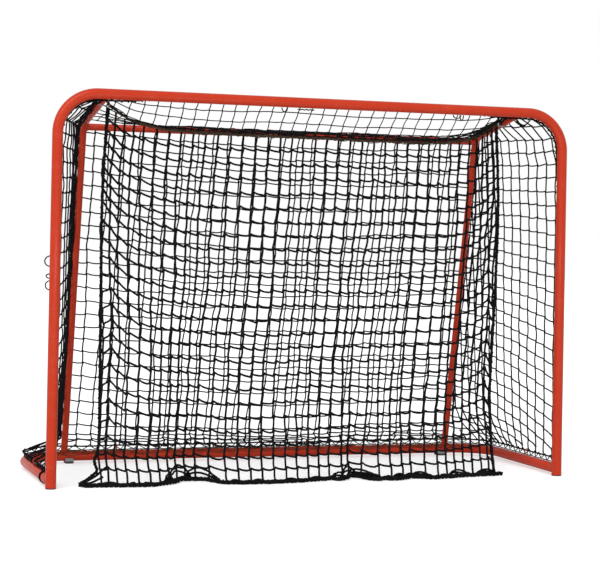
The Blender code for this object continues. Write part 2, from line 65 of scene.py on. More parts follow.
def make_camera():
    lens = bpy.data.cameras.new("camera")
    lens.sensor_width = 36
    lens.lens = 36 * CAMERA_FOCUS
    lens.shift_x = CAMERA_SHIFT
    lens.shift_y = CAMERA_SHIFT
    camera = bpy.data.objects.new("camera", lens)
    scene.collection.objects.link(camera)
    level = Vector((math.sin(CAMERA_YAW), math.cos(CAMERA_YAW), 0))
    ahead = level * math.cos(CAMERA_PITCH) + UP * math.sin(CAMERA_PITCH)
    right = ahead.cross(UP).normalized()
    up = right.cross(ahead)
    turned = right * math.cos(CAMERA_ROLL) + up * math.sin(CAMERA_ROLL)
    up = up * math.cos(CAMERA_ROLL) - right * math.sin(CAMERA_ROLL)
    facing = Matrix((turned, up, -ahead)).transposed().to_4x4()
    camera.matrix_world = Matrix.Translation(CAMERA_PLACE) @ facing
    scene.camera = camera


make_camera()

# Sizes of the steel frame

MOUTH_WIDTH = 1.600
MOUTH_HEIGHT = 1.150
FLOOR_DEPTH = 0.650
FRAME_TUBE = 0.032
TOP_CORNER_RADIUS = 0.120
BASE_CORNER_RADIUS = 0.140
BASE_LIFT = 0.007
STAY_TUBE = 0.022
STAY_INSET = 0.146
STAY_BEND_DEPTH = 0.379
STAY_BEND_HEIGHT = 1.098
STAY_BEND_RADIUS = 0.060
PLUG_LIP = 0.003
PAD_WIDTH = 0.027
PAD_SIDE = 0.006
PAD_GRIP = 0.010
PAD_FROM_STAY = 0.016

# Sizes of the nets and ropes

JOINT_GAP = 0.0003
EYELET_WIRE = 0.003
CROSSBAR_EYELETS = 4
CROSSBAR_EYELET_STEP = 0.300
POST_EYELET_HEIGHTS = (0.350, 0.750)
BASE_EYELETS = 4
BASE_EYELET_STEP = 0.330
SIDE_EYELET_PLACE = 0.250
BORDER_ROPE = 0.006
BASE_ROPE_LIFT = 0.031
ROOF_VALLEY_DEPTH = 0.073
ROOF_EDGE_POWER = 8
ROOF_COLUMNS = 14
MAIN_CORD = 0.003
DROP_CORD = 0.005
HEAD_ROPE = 0.008
EDGE_ROPE = 0.012
HEM_ROPE = 0.014
HEAD_DEPTH_LEFT = 0.105
HEAD_DEPTH_RIGHT = 0.150
HEAD_TAIL = 0.030
MAIN_STRAND = 0.0048
ROOF_STRAND = 0.0034
DROP_STRAND = 0.0067
EDGE_STRAND = 0.0095

frame_r = FRAME_TUBE / 2
stay_r = STAY_TUBE / 2
rope_r = BORDER_ROPE / 2
head_r = HEAD_ROPE / 2
edge_r = EDGE_ROPE / 2
hem_r = HEM_ROPE / 2
main_r = MAIN_CORD / 2
drop_r = DROP_CORD / 2
edge_cord_r = EDGE_STRAND / 2
post_x = MOUTH_WIDTH / 2 + frame_r
crossbar_z = MOUTH_HEIGHT + frame_r
goal_y = frame_r - FLOOR_DEPTH / 2
base_y = FLOOR_DEPTH / 2 - PAD_SIDE - frame_r
base_z = BASE_LIFT + frame_r
stay_x = post_x - STAY_INSET
bend_y = goal_y + STAY_BEND_DEPTH
head_tip_x = stay_x - 0.027


# Routes

def rounded(corners, radius, steps=20):
    """The corner points joined by straight runs, with an arc of this radius at each inner corner."""
    points = [Vector(corners[0])]
    for before, corner, after in zip(corners, corners[1:], corners[2:]):
        corner = Vector(corner)
        into = (corner - Vector(before)).normalized()
        out = (Vector(after) - corner).normalized()
        turn = into.angle(out)
        centre = corner + (out - into).normalized() * (radius / math.cos(turn / 2))
        start = corner - into * radius * math.tan(turn / 2) - centre
        for step in range(steps + 1):
            angle = turn * step / steps
            points.append(centre + start * math.cos(angle) + into * radius * math.sin(angle))
    points.append(Vector(corners[-1]))
    return points


class Route:
    """A line through points, read by the length travelled along it."""

    def __init__(self, points):
        self.points = [Vector(point) for point in points]
        steps = [(b - a).length for a, b in zip(self.points, self.points[1:])]
        self.marks = np.concatenate([[0], np.cumsum(steps)])
        self.length = float(self.marks[-1])

    def at(self, travelled):
        index = int(np.searchsorted(self.marks, travelled, side="right")) - 1
        index = max(0, min(index, len(self.points) - 2))
        a, b = self.points[index], self.points[index + 1]
        return a + (b - a).normalized() * (travelled - float(self.marks[index]))

    def along(self, travelled, reach=0.0006):
        return (self.at(travelled + reach) - self.at(travelled - reach)).normalized()

    def spaced(self, step, first=0.0, last=None):
        last = self.length if last is None else last
        count = max(1, round((last - first) / step))
        return [first + (last - first) * index / count for index in range(count + 1)]


def smooth(points, pieces=6):
    """A smooth curve through given points."""
    points = [Vector(point) for point in points]
    ends = [2 * points[0] - points[1], *points, 2 * points[-1] - points[-2]]
    found = [points[0]]
    for a, b, c, d in zip(ends, ends[1:], ends[2:], ends[3:]):
        square = 2 * a - 5 * b + 4 * c - d
        cube = 3 * b - a - 3 * c + d
        for piece in range(1, pieces + 1):
            t = piece / pieces
            found.append(((2 * b) + (c - a) * t + square * t**2 + cube * t**3) / 2)
    return found


front_points = rounded([(-post_x, goal_y, PLUG_LIP), (-post_x, goal_y, crossbar_z),
                        (post_x, goal_y, crossbar_z), (post_x, goal_y, PLUG_LIP)], TOP_CORNER_RADIUS)
base_points = rounded([(-post_x, goal_y, base_z), (-post_x, base_y, base_z),
                       (post_x, base_y, base_z), (post_x, goal_y, base_z)], BASE_CORNER_RADIUS)
front_route = Route(front_points)
base_route = Route(base_points)


def stay_points(side):
    x = side * stay_x
    corners = [(x, goal_y, crossbar_z), (x, bend_y, STAY_BEND_HEIGHT), (x, base_y, base_z)]
    return rounded(corners, STAY_BEND_RADIUS, 12)


arm_slope = (crossbar_z - STAY_BEND_HEIGHT) / STAY_BEND_DEPTH
leg_slope = (base_y - bend_y) / (STAY_BEND_HEIGHT - base_z)
stay_crown = Route(stay_points(1)[1:-1])
bar_centre = stay_crown.at(stay_crown.length / 2)


def arm_z(y):
    return crossbar_z - (y - goal_y) * arm_slope


def leg_y(z):
    return base_y - (z - base_z) * leg_slope


# Shaders

def put(tree, socket, value):
    """Link a socket to another node's, or give it a fixed value."""
    if isinstance(value, bpy.types.NodeSocket):
        tree.links.new(value, socket)
    elif value is not None:
        socket.default_value = value


def add_node(tree, kind, inputs=(), **settings):
    made = tree.nodes.new(kind)
    for key, value in settings.items():
        setattr(made, key, value)
    pairs = inputs.items() if isinstance(inputs, dict) else enumerate(inputs)
    for key, value in pairs:
        put(tree, made.inputs[key], value)
    return made


class Value:
    """A shader socket that can be used in arithmetic."""

    def __init__(self, finish, socket):
        self.finish = finish
        self.socket = socket

    def math(self, operation, *others):
        return self.finish.node("ShaderNodeMath", [self, *others], operation=operation)

    def __add__(self, other):
        return self.math("ADD", other)

    def __mul__(self, other):
        return self.math("MULTIPLY", other)

    def __pow__(self, other):
        return self.math("POWER", other)

    __radd__ = __add__
    __rmul__ = __mul__


class Finish:
    """A material with one Principled shader, and the nodes that feed it."""

    def __init__(self, name, **fixed):
        self.material = bpy.data.materials.new(name)
        self.material.use_nodes = True
        self.tree = self.material.node_tree
        self.shader = self.tree.nodes["Principled BSDF"]
        self.set(**fixed)

    def node(self, kind, inputs=(), output=0, **settings):
        pairs = inputs.items() if isinstance(inputs, dict) else enumerate(inputs)
        sockets = {key: value.socket if isinstance(value, Value) else value for key, value in pairs}
        return Value(self, add_node(self.tree, kind, sockets, **settings).outputs[output])

    def place(self):
        return self.node("ShaderNodeTexCoord", output="Object")

    def noise(self, scale, detail=2.0):
        return self.node("ShaderNodeTexNoise", {"Vector": self.place(), "Scale": scale, "Detail": detail})

    def ramp(self, value, low, high):
        """Black up to the low value and white from the high one."""
        found = self.node("ShaderNodeValToRGB", [value])
        for end, position in zip(found.socket.node.color_ramp.elements, (low, high)):
            end.position = position
        return found

    def mixed(self, share, first, second):
        """A colour between two colours."""
        first, second = (colour if isinstance(colour, Value) else (*colour, 1) for colour in (first, second))
        return self.node("ShaderNodeMix", {"Factor": share, 6: first, 7: second}, 2, data_type="RGBA")

    def parts(self, vector):
        """The x, y and z of a vector."""
        first = self.node("ShaderNodeSeparateXYZ", [vector])
        return [Value(self, socket) for socket in first.socket.node.outputs]

    def uv(self):
        """The lengths along and round a cord, as two values."""
        return self.parts(self.node("ShaderNodeUVMap", uv_map="UVMap"))[:2]

    def bump(self, height, distance, strength):
        inputs = {"Height": height, "Distance": distance, "Strength": strength}
        self.set(Normal=self.node("ShaderNodeBump", inputs))

    def set(self, **changing):
        for socket, value in changing.items():
            value = value.socket if isinstance(value, Value) else value
            put(self.tree, self.shader.inputs[socket.replace("_", " ")], value)


def gloss_paint(name="gloss_paint", colour=(0.58, 0.038, 0.009)):
    paint = Finish(name, Coat_Weight=0.35, Coat_Roughness=0.10, Coat_IOR=1.30, IOR=1.24)
    cloud = paint.noise(6, 4)
    peel = paint.noise(420, 2)
    dust = paint.ramp(paint.noise(38, 6), 0.52, 0.74)
    deep = tuple(part * 0.86 for part in colour)
    base = paint.mixed(cloud, deep, colour)
    base = paint.mixed(dust * 0.06, base, (0.62, 0.26, 0.18))
    paint.set(Base_Color=base, Roughness=0.30 + dust * 0.14 + cloud * 0.06)
    paint.bump(peel * 0.6 + paint.noise(70, 2) * 0.4, 0.00018, 0.5)
    return paint.material


def twisted_cord(name, pitch, colour=(0.007, 0.007, 0.008), worn=(0.020, 0.019, 0.021)):
    """Three twisted plies: their grooves wind round the cord once in each pitch."""
    cord = Finish(name, IOR=1.45, Specular_IOR_Level=0.05)
    along, round_it = cord.uv()
    wave = (round_it * (3 * math.pi) + along * (3 * math.pi / pitch)).math("SINE").math("ABSOLUTE")
    fibre = cord.noise(900, 3)
    patch = cord.ramp(cord.noise(24, 4), 0.42, 0.72)
    ply = cord.mixed(patch * 0.6 + wave * 0.15, colour, worn)
    # The colour darkens into the grooves between the plies: painted shade in the recesses.
    base = cord.mixed(wave ** 0.5, tuple(part * 0.45 for part in colour), ply)
    cord.set(Base_Color=base, Roughness=0.72 + fibre * 0.22)
    cord.bump(wave + fibre * 0.35, pitch * 0.045, 0.9)
    return cord.material


def braided_webbing(name):
    webbing = Finish(name, IOR=1.45)
    along, across = webbing.uv()
    weave = (along * (math.pi / 0.0016)).math("SINE") * (across * (math.pi * 7)).math("SINE")
    base = webbing.mixed(weave * 0.5 + 0.5, (0.30, 0.29, 0.285), (0.50, 0.49, 0.475))
    dirt = webbing.ramp(webbing.noise(60, 5), 0.45, 0.75)
    webbing.set(Base_Color=webbing.mixed(dirt * 0.5, base, (0.20, 0.19, 0.18)), Roughness=0.85 + weave * 0.06)
    webbing.bump(weave, 0.0002, 0.8)
    return webbing.material


def moulded_plastic(name):
    plastic = Finish(name, IOR=1.49)
    grain = plastic.noise(300, 3)
    scuff = plastic.ramp(plastic.noise(55, 6), 0.55, 0.70)
    plastic.set(
        Base_Color=plastic.mixed(scuff * 0.5, (0.018, 0.018, 0.02), (0.07, 0.068, 0.065)),
        Roughness=0.46 + grain * 0.2 + scuff * 0.15,
    )
    plastic.bump(grain, 0.00012, 0.6)
    return plastic.material


def grey_rubber(name):
    """Pale grey above, black low down where it meets the floor."""
    rubber = Finish(name, IOR=1.5)
    height = rubber.parts(rubber.place())[2]
    grain = rubber.noise(340, 4)
    upper = rubber.ramp((height + (grain * 0.002)) * 60, 0.34, 0.62)
    pale = rubber.mixed(grain, (0.20, 0.20, 0.205), (0.36, 0.36, 0.36))
    rubber.set(Base_Color=rubber.mixed(upper, (0.035, 0.035, 0.037), pale), Roughness=0.78 + grain * 0.16)
    rubber.bump(grain, 0.0002, 0.7)
    return rubber.material


paint = gloss_paint()
weld_paint = gloss_paint("weld_paint", (0.52, 0.042, 0.016))
thin_cord = twisted_cord("thin_net_cord", 0.011)
thick_cord = twisted_cord("thick_net_cord", 0.017)
rope_yarn = twisted_cord("rope_strand", 0.012)
faded_cord = twisted_cord("faded_cord", 0.009, (0.085, 0.052, 0.034), (0.150, 0.105, 0.075))
dusty_yarn = twisted_cord("dusty_rope_yarn", 0.012, (0.040, 0.024, 0.016), (0.080, 0.058, 0.042))
strap_webbing = braided_webbing("strap_webbing")
plug_plastic = moulded_plastic("plug_plastic")
pad_rubber = grey_rubber("pad_rubber")


# Making pieces

DOUBLES = 0.00001
STRAND_REACH = 0.536
STRAND_SIZE = 0.475


def finished(name, mesh, material, nodes=(), angle=40):
    """A piece that rides on the goal and stands for these nodes."""
    mesh.materials.clear()
    mesh.materials.append(material)
    made = bpy.data.objects.new(name, mesh)
    scene.collection.objects.link(made)
    mesh.shade_smooth()
    if angle:
        mesh.set_sharp_from_angle(angle=math.radians(angle))
    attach(made, "root")
    if nodes:
        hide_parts(*nodes)
    return made


def mesh_of(shape, name):
    mesh = bpy.data.meshes.new(name)
    shape.to_mesh(mesh)
    shape.free()
    return mesh


def add_spline(curve, points, closed=False):
    spline = curve.splines.new("POLY")
    spline.points.add(len(points) - 1)
    spline.points.foreach_set("co", [part for point in points for part in (*point, 1)])
    spline.use_cyclic_u = closed
    return spline


def curve_mesh(curve):
    """The curve's mesh. The curve itself is removed."""
    pattern = bpy.data.objects.new("pattern", curve)
    scene.collection.objects.link(pattern)
    mesh = bpy.data.meshes.new_from_object(pattern.evaluated_get(bpy.context.evaluated_depsgraph_get()))
    bpy.data.objects.remove(pattern)
    bpy.data.curves.remove(curve)
    return mesh


def swept(lines, radius, sides=8, closed=False, weights=None):
    """A mesh of round section along each line.

    Its UV map runs in metres along the line and from 0 to 1 round it.
    """
    curve = bpy.data.curves.new("sweep", "CURVE")
    curve.dimensions = "3D"
    curve.resolution_u = 1
    curve.bevel_depth = radius
    curve.bevel_resolution = (sides - 4) // 2
    curve.use_fill_caps = not closed
    lengths = []
    spans = []
    for index, line in enumerate(lines):
        spline = add_spline(curve, line, closed)
        if weights:
            spline.points.foreach_set("radius", weights[index])
        ring = [*line, line[0]] if closed else line
        lengths.append(sum((Vector(b) - Vector(a)).length for a, b in zip(ring, ring[1:])))
        spans.append(len(ring) - 1)
    mesh = curve_mesh(curve)
    uv = np.zeros(len(mesh.loops) * 2, np.float32)
    mesh.uv_layers[0].data.foreach_get("uv", uv)
    uv = uv.reshape(-1, 2)
    start = len(mesh.loops) - 4 * sides * sum(spans)
    for length, span in zip(lengths, spans):
        end = start + 4 * sides * span
        uv[start:end, 0] *= length
        start = end
    mesh.uv_layers[0].data.foreach_set("uv", uv.ravel())
    return mesh


def shaped(mesh, work=None):
    """The mesh after its doubles are merged and this work is done on it."""
    shape = bmesh.new()
    shape.from_mesh(mesh)
    bmesh.ops.remove_doubles(shape, verts=shape.verts, dist=DOUBLES)
    if work:
        work(shape)
    shape.to_mesh(mesh)
    shape.free()
    return mesh


def cords(name, lines, radius, material):
    """A piece of thin cords that stands for no node."""
    return finished(name, shaped(swept(lines, radius, 6)), material, (), 0)


def laid(line, radius, pitch, steps=10):
    """The three strands of a laid rope along this line."""
    route = Route(line)
    total = max(2, round(route.length / pitch * steps))
    found = [[], [], []]
    side = route.along(0.001).orthogonal().normalized()
    for index in range(total + 1):
        travelled = route.length * index / total
        way = route.along(travelled)
        side = (side - way * side.dot(way)).normalized()
        up = way.cross(side)
        for strand in range(3):
            angle = math.tau * (index / steps + strand / 3)
            out = side * math.cos(angle) + up * math.sin(angle)
            found[strand].append(route.at(travelled) + out * radius * STRAND_REACH)
    return found


def laid_rope(name, line, radius, pitch, node, sides=8, steps=10, material=rope_yarn):
    mesh = swept(laid(line, radius, pitch, steps), radius * STRAND_SIZE, sides)
    return finished(name, shaped(mesh), material, (node,), 0)


def wound(route, first, last, radius, pitch, steps=9, start=0.0, stray=0.0):
    """A cord wound round a route. Its turns stray from an even pitch by this share of a turn."""
    total = max(2, round((last - first) / pitch * steps))
    found = []
    side = route.along(first + 0.001).orthogonal().normalized()
    for index in range(total + 1):
        travelled = first + (last - first) * index / total
        way = route.along(travelled)
        side = (side - way * side.dot(way)).normalized()
        up = way.cross(side)
        angle = math.tau * (index / steps + start)
        angle += stray * math.tau * noise.noise((travelled * 9, start, radius * 50))
        found.append(route.at(travelled) + (side * math.cos(angle) + up * math.sin(angle)) * radius)
    return found


# Steel tubes

def steel_tube(name, points, radius, node):
    mesh = swept([points], radius, 40)

    def end_edges(shape):
        rims = [edge for edge in shape.edges if edge.calc_face_angle(0) > 1.2]
        bmesh.ops.bevel(shape, geom=rims, offset=0.0008, segments=2, profile=0.5, affect="EDGES", material=-1)

    return finished(name, shaped(mesh, end_edges), paint, (node,))


def shortened(points, amount):
    first = points[0] + (points[1] - points[0]).normalized() * amount
    last = points[-1] + (points[-2] - points[-1]).normalized() * amount
    return [first, *points[1:-1], last]


def saddle(centre, main, branch, main_r, branch_r, grow, steps=48):
    """The ring where a branch tube meets the main tube's wall."""
    main = Vector(main).normalized()
    branch = Vector(branch).normalized()
    third = main.cross(branch).normalized()
    away = third.cross(main).normalized()
    if away.dot(branch) < 0:
        away = -away
    lift = branch.cross(third).normalized()
    found = []
    for step in range(steps):
        angle = math.tau * step / steps
        across = branch_r * math.sin(angle)
        inside = max((main_r + grow) ** 2 - across**2, 0.0)
        travel = (math.sqrt(inside) - branch_r * math.cos(angle) * lift.dot(away)) / branch.dot(away)
        found.append(centre + branch * travel + lift * branch_r * math.cos(angle) + third * across)
    return found


def weld_bead(name, rings, radius=0.0024):
    """Beads with the small ripples of a hand weld."""
    weights = []
    for ring in rings:
        ripples = [1 + 0.16 * math.sin(index * 2.1) for index in range(len(ring))]
        weights.append([ripple + 0.12 * noise.noise(point * 160) for ripple, point in zip(ripples, ring)])
    mesh = swept(rings, radius, 8, True, weights)
    return finished(name, shaped(mesh), weld_paint, (), 0)


def build_frame():
    steel_tube("front_frame_tube", front_points, frame_r, "front_frame")
    steel_tube("base_frame_tube", shortened(base_points, 0.006), frame_r, "base_frame")
    for name, side in SIDES:
        steel_tube("stay_tube_" + name, shortened(stay_points(side), 0.004), stay_r, "stay_" + name)
    ends = [Vector((side * (stay_x - 0.004), bar_centre.y, bar_centre.z)) for side in (-1, 1)]
    steel_tube("rear_top_tube", ends, stay_r, "rear_top_bar")
    leg = Vector((0, -leg_slope, 1))
    arm = Vector((0, 1, -arm_slope))
    for name, side in SIDES:
        foot = Vector((side * stay_x, base_y, base_z))
        head = Vector((side * stay_x, goal_y, crossbar_z))
        corner = Vector((side * post_x, goal_y, base_z))
        bend = Vector((side * stay_x, bar_centre.y, bar_centre.z))
        weld_bead("weld_beads_" + name, [
            saddle(foot, RIGHT, leg, frame_r, stay_r + 0.0004, 0.0004),
            saddle(head, RIGHT, arm, frame_r, stay_r + 0.0004, 0.0004),
            saddle(corner, UP, BACK, frame_r, frame_r - 0.0006, 0.0012),
            saddle(bend, (0, 1, -1.3), RIGHT * -side, stay_r, stay_r - 0.0006, 0.0010),
        ])


# Feet

def build_plug(name, x, node):
    shape = bmesh.new()
    profile = [(0, 0.0004), (0.004, 0.0004), (0.005, 0), (0.0138, 0), (0.0152, 0.0003), (0.0160, 0.0012),
               (0.0160, 0.0026), (0.0157, 0.0030), (0.0140, 0.0031), (0.0140, 0.028), (0, 0.028)]
    line = [shape.verts.new((x + radius, goal_y, height)) for radius, height in profile]
    edges = [shape.edges.new(pair) for pair in zip(line, line[1:])]
    centre = (x, goal_y, 0)
    bmesh.ops.spin(shape, geom=line + edges, cent=centre, axis=UP, angle=math.tau, steps=48, use_merge=True)
    bmesh.ops.remove_doubles(shape, verts=shape.verts, dist=DOUBLES)
    bmesh.ops.recalc_face_normals(shape, faces=shape.faces)
    finished(name, mesh_of(shape, name), plug_plastic, (node,))


def rod_mesh(axis, place, radius, length, sides):
    """A closed rod along x or y, for cutting."""
    shape = bmesh.new()
    turn = Matrix.Rotation(math.pi / 2, 4, "Y" if axis == "x" else "X")
    bmesh.ops.create_cone(shape, cap_ends=True, segments=sides, radius1=radius, radius2=radius,
                          depth=length, matrix=Matrix.Translation(place) @ turn)
    return mesh_of(shape, "rod")


def build_pad(name, x, node):
    """A rubber pad with a ribbed tread and a rounded saddle for the tube."""
    shape = bmesh.new()
    bmesh.ops.create_cube(shape, size=1)
    height = BASE_LIFT + PAD_GRIP
    bmesh.ops.scale(shape, vec=(PAD_WIDTH, FRAME_TUBE + 2 * PAD_SIDE, height), verts=shape.verts)
    bmesh.ops.translate(shape, vec=(x, base_y, height / 2), verts=shape.verts)
    upright = [edge for edge in shape.edges if abs(edge.verts[0].co.z - edge.verts[1].co.z) > height / 2]
    rounding = {"profile": 0.5, "affect": "EDGES", "material": -1}
    bmesh.ops.bevel(shape, geom=upright, offset=PAD_SIDE, segments=6, **rounding)
    rims = [edge for edge in shape.edges if edge.calc_face_angle(0) > 1.2]
    bmesh.ops.bevel(shape, geom=rims, offset=0.0012, segments=3, **rounding)
    pad = finished(name, mesh_of(shape, name), pad_rubber, (node,), 35)
    rods = [rod_mesh("x", (x, base_y, base_z), frame_r, 2 * PAD_WIDTH, 48)]
    for shift in (-0.008, 0, 0.008):
        rods.append(rod_mesh("y", (x + shift, base_y, -0.0003), 0.0014, 0.06, 16))
    for rod in rods:
        tool = bpy.data.objects.new("pad_tool", rod)
        scene.collection.objects.link(tool)
        step = pad.modifiers.new("tool", "BOOLEAN")
        step.operation = "DIFFERENCE"
        step.solver = "EXACT"
        step.object = tool
        pad.data = bpy.data.meshes.new_from_object(pad.evaluated_get(bpy.context.evaluated_depsgraph_get()))
        pad.modifiers.clear()
        bpy.data.objects.remove(tool)
    pad.data.materials.clear()
    pad.data.materials.append(pad_rubber)
    pad.data.shade_smooth()
    pad.data.set_sharp_from_angle(angle=math.radians(35))


# Border ropes and their eyelets

arm_under = math.radians(78)
corner_under = math.radians(50)
corner_run = TOP_CORNER_RADIUS * math.pi / 2
left_arm_at = crossbar_z - PLUG_LIP - TOP_CORNER_RADIUS + corner_run + post_x - TOP_CORNER_RADIUS - stay_x
right_arm_at = front_route.length - left_arm_at
rope_out = frame_r + JOINT_GAP + rope_r
passing = 2 * STAY_TUBE
inner_turn = [(0, arm_under), (passing, arm_under), (corner_run, 0)]
outer_turn = [(0, arm_under), (passing, arm_under), (corner_run, corner_under), (2 * corner_run, 0)]
leg_half = stay_r * math.hypot(1, leg_slope)
base_rope_out = leg_y(base_z + BASE_ROPE_LIFT) + leg_half + rope_r + JOINT_GAP - base_y
base_rope_start = rope_out + rope_r + JOINT_GAP


def rope_lean(travelled):
    """How far the front border rope has swung from the back of the tube to its inner side."""
    from_arm = min(abs(travelled - left_arm_at), abs(travelled - right_arm_at))
    turn = inner_turn if left_arm_at < travelled < right_arm_at else outer_turn
    for (a, low), (b, high) in zip(turn, turn[1:]):
        if from_arm < b:
            return low + (high - low) * (from_arm - a) / (b - a)
    return 0.0


def behind_front(travelled, out):
    inward = BACK.cross(front_route.along(travelled, 0.004))
    lean = rope_lean(travelled)
    return front_route.at(travelled) + (BACK * math.cos(lean) + inward * math.sin(lean)) * out


def above_base(travelled, lift, out=base_rope_out):
    outward = base_route.along(travelled, 0.004).cross(UP) * -1
    return base_route.at(travelled) + UP * lift + outward * out


def front_rope_line():
    low = base_z + frame_r + rope_r - PLUG_LIP
    return [behind_front(stop, rope_out) for stop in front_route.spaced(0.012, low, front_route.length - low)]


def base_rope_line():
    stops = base_route.spaced(0.012, base_rope_start, base_route.length - base_rope_start)
    return [above_base(stop, BASE_ROPE_LIFT) + UP * noise.noise((stop * 7, 3.1, 0)) * 0.003 for stop in stops]


def build_border_ropes():
    for name, line in (("front", front_rope_line()), ("base", base_rope_line())):
        laid_rope(name + "_border_line", line, rope_r, 0.019, name + "_border_rope", 6, 8)


def eyelet_wire(tube_point, rope_point, along):
    out = (rope_point - tube_point).normalized()
    side = along.cross(out).normalized()
    reach = (rope_point - tube_point).length
    half = rope_r + JOINT_GAP + EYELET_WIRE / 2
    foot = tube_point + out * frame_r * 0.9
    points = [foot - side * half]
    for step in range(15):
        angle = math.pi * step / 14
        points.append(tube_point + out * (reach + half * math.sin(angle)) - side * half * math.cos(angle))
    return [*points, foot + side * half]


def build_eyelet(name, tube_point, rope_point, along):
    """A bent wire loop with a small weld at each of its feet."""
    wire = eyelet_wire(tube_point, rope_point, along)
    mesh = swept([wire], EYELET_WIRE / 2, 10)

    def weld_feet(shape):
        for foot in (wire[0], wire[-1]):
            out = (foot - tube_point).normalized()
            bmesh.ops.create_uvsphere(
                shape, u_segments=12, v_segments=8, radius=0.0028,
                matrix=Matrix.Translation(foot + out * 0.0006) @ Matrix.Diagonal((1.0, 1.0, 0.7, 1.0)),
            )

    finished("loop_" + name, shaped(mesh, weld_feet), weld_paint, (name,), 0)


def front_eyelet(name, place, along):
    build_eyelet(name, front_route.at(place), behind_front(place, rope_out), along)


def base_eyelet(name, place, along):
    build_eyelet(name, base_route.at(place), above_base(place, BASE_ROPE_LIFT), along)


def middle_places(route, count, spacing):
    return [route.length / 2 + (number - (count - 1) / 2) * spacing for number in range(count)]


def build_eyelets():
    for number, place in enumerate(middle_places(front_route, CROSSBAR_EYELETS, CROSSBAR_EYELET_STEP), 1):
        front_eyelet(f"crossbar_eyelet_{number}", place, RIGHT)
    for number, height in enumerate(POST_EYELET_HEIGHTS, 1):
        front_eyelet(f"post_eyelet_left_{number}", height, UP)
        front_eyelet(f"post_eyelet_right_{number}", front_route.length - height, UP)
    for number, place in enumerate(middle_places(base_route, BASE_EYELETS, BASE_EYELET_STEP), 1):
        base_eyelet(f"base_eyelet_{number}", place, RIGHT)
    base_eyelet("side_eyelet_left", SIDE_EYELET_PLACE, BACK)
    base_eyelet("side_eyelet_right", base_route.length - SIDE_EYELET_PLACE, BACK)


# Nets

class Net:
    """Knots and the cords that run through them."""

    def __init__(self, cord, sag, kink, seed):
        self.cord = cord
        self.sag = sag
        self.kink = kink
        self.chance = random.Random(seed)
        self.lines = []
        self.knots = []
        self.sizes = []

    def jitter(self, size):
        return Vector([self.chance.gauss(0, size) for _ in range(3)])

    def run(self, points, step, steps=2):
        """A cord through points. It sags between them and shifts by about this step at each knot."""
        found = []
        last = len(points) - 1
        leave = step
        for index, point in enumerate(points):
            way = (points[min(index + 1, last)] - points[max(index - 1, 0)]).normalized()
            if 0 < index < last:
                arrive = step * self.chance.uniform(0.55, 1.45)
                leave = step * self.chance.uniform(0.55, 1.45)
                found.append(point - way * self.kink - arrive)
                found.append(point + way * self.kink + leave)
            else:
                found.append(point)
            if index < last:
                after = points[index + 1]
                gap = (after - point).length
                bow = self.jitter(gap * 0.022)
                level = 1 - abs((after - point).normalized().z)
                for part in range(1, steps + 1):
                    share = part / (steps + 1)
                    drop = UP * self.sag * gap * level
                    skew = leave * (1 - share) - step * share
                    found.append(point.lerp(after, share) - (drop - bow) * 4 * share * (1 - share) + skew)
        self.lines.append(found)

    def knot(self, point, across, down, size):
        """A small hitch, longer along one diagonal."""
        turn = self.chance.gauss(0.75, 0.2)
        long = (across * math.cos(turn) - down * math.sin(turn)).normalized() * self.cord / 2
        self.knots.append([point + long * part for part in (-1.5, -0.8, 0.8, 1.5)])
        self.sizes.append([size * part for part in (0.4, 0.95, 0.95, 0.4)])

    def mesh(self):
        weights = [[1.0] * len(line) for line in self.lines] + self.sizes
        return shaped(swept(self.lines + self.knots, self.cord / 2, 6, False, weights))


def wander(point, size, scale, seed):
    """A gentle, smooth shift that differs from place to place."""
    spot = point * scale + Vector((seed, seed * 1.7, -seed))
    return noise.noise_vector(spot) * size


def head_y(x):
    share = (x + stay_x) / (2 * stay_x)
    return goal_y + HEAD_DEPTH_LEFT + (HEAD_DEPTH_RIGHT - HEAD_DEPTH_LEFT) * share


roof_front_y = goal_y + rope_out + rope_r + JOINT_GAP + EYELET_WIRE + main_r + 0.0005
roof_rear_y = bar_centre.y
roof_rear_z = bar_centre.z + stay_r + main_r + 0.0005


def roof_z(x, y):
    """Height of the roof net: tied at the crossbar and rear bar, held down in a valley by the drop net."""
    valley = (head_y(x) - roof_front_y) / (roof_rear_y - roof_front_y)
    share = (y - roof_front_y) / (roof_rear_y - roof_front_y)
    straight = crossbar_z + (roof_rear_z - crossbar_z) * share
    sunk = straight - ROOF_VALLEY_DEPTH * min(share / valley, (1 - share) / (1 - valley))
    over_arm = arm_z(y) + stay_r * math.hypot(1, arm_slope) + 0.0021 + main_r
    place = (x / stay_x + 1) / 2 * ROOF_COLUMNS
    column = min(int(place), ROOF_COLUMNS - 1)
    low, high = (abs(2 * end / ROOF_COLUMNS - 1) ** ROOF_EDGE_POWER for end in (column, column + 1))
    edge = low + (high - low) * (place - column)
    return sunk * (1 - edge) + over_arm * edge


def head_point(x):
    """A point on the head rope, just under the roof net's valley."""
    y = head_y(x)
    return Vector((x, y, roof_z(x, y) - main_r - head_r - 0.0006))


def behind_goal(x, depth, z):
    return Vector((x, goal_y + depth, z))


# The hem's line on the floor: x, and depth behind the goal's front
HEM_LAY = [
    (-0.726, 0.030), (-0.705, 0.004), (-0.673, 0.000), (-0.572, -0.012), (-0.519, -0.016), (-0.473, 0.008),
    (-0.436, 0.036), (-0.410, 0.082), (-0.369, 0.092), (-0.332, 0.084), (-0.309, 0.040), (-0.285, -0.002),
    (-0.209, -0.018), (-0.097, -0.016), (0.008, 0.008), (0.060, 0.026), (0.082, 0.004), (0.106, 0.028),
    (0.142, 0.074), (0.166, 0.050), (0.178, 0.002), (0.198, -0.020), (0.223, -0.006), (0.250, -0.020),
    (0.290, -0.008), (0.322, 0.020), (0.356, 0.004), (0.396, -0.014), (0.511, 0.015), (0.640, 0.034),
]
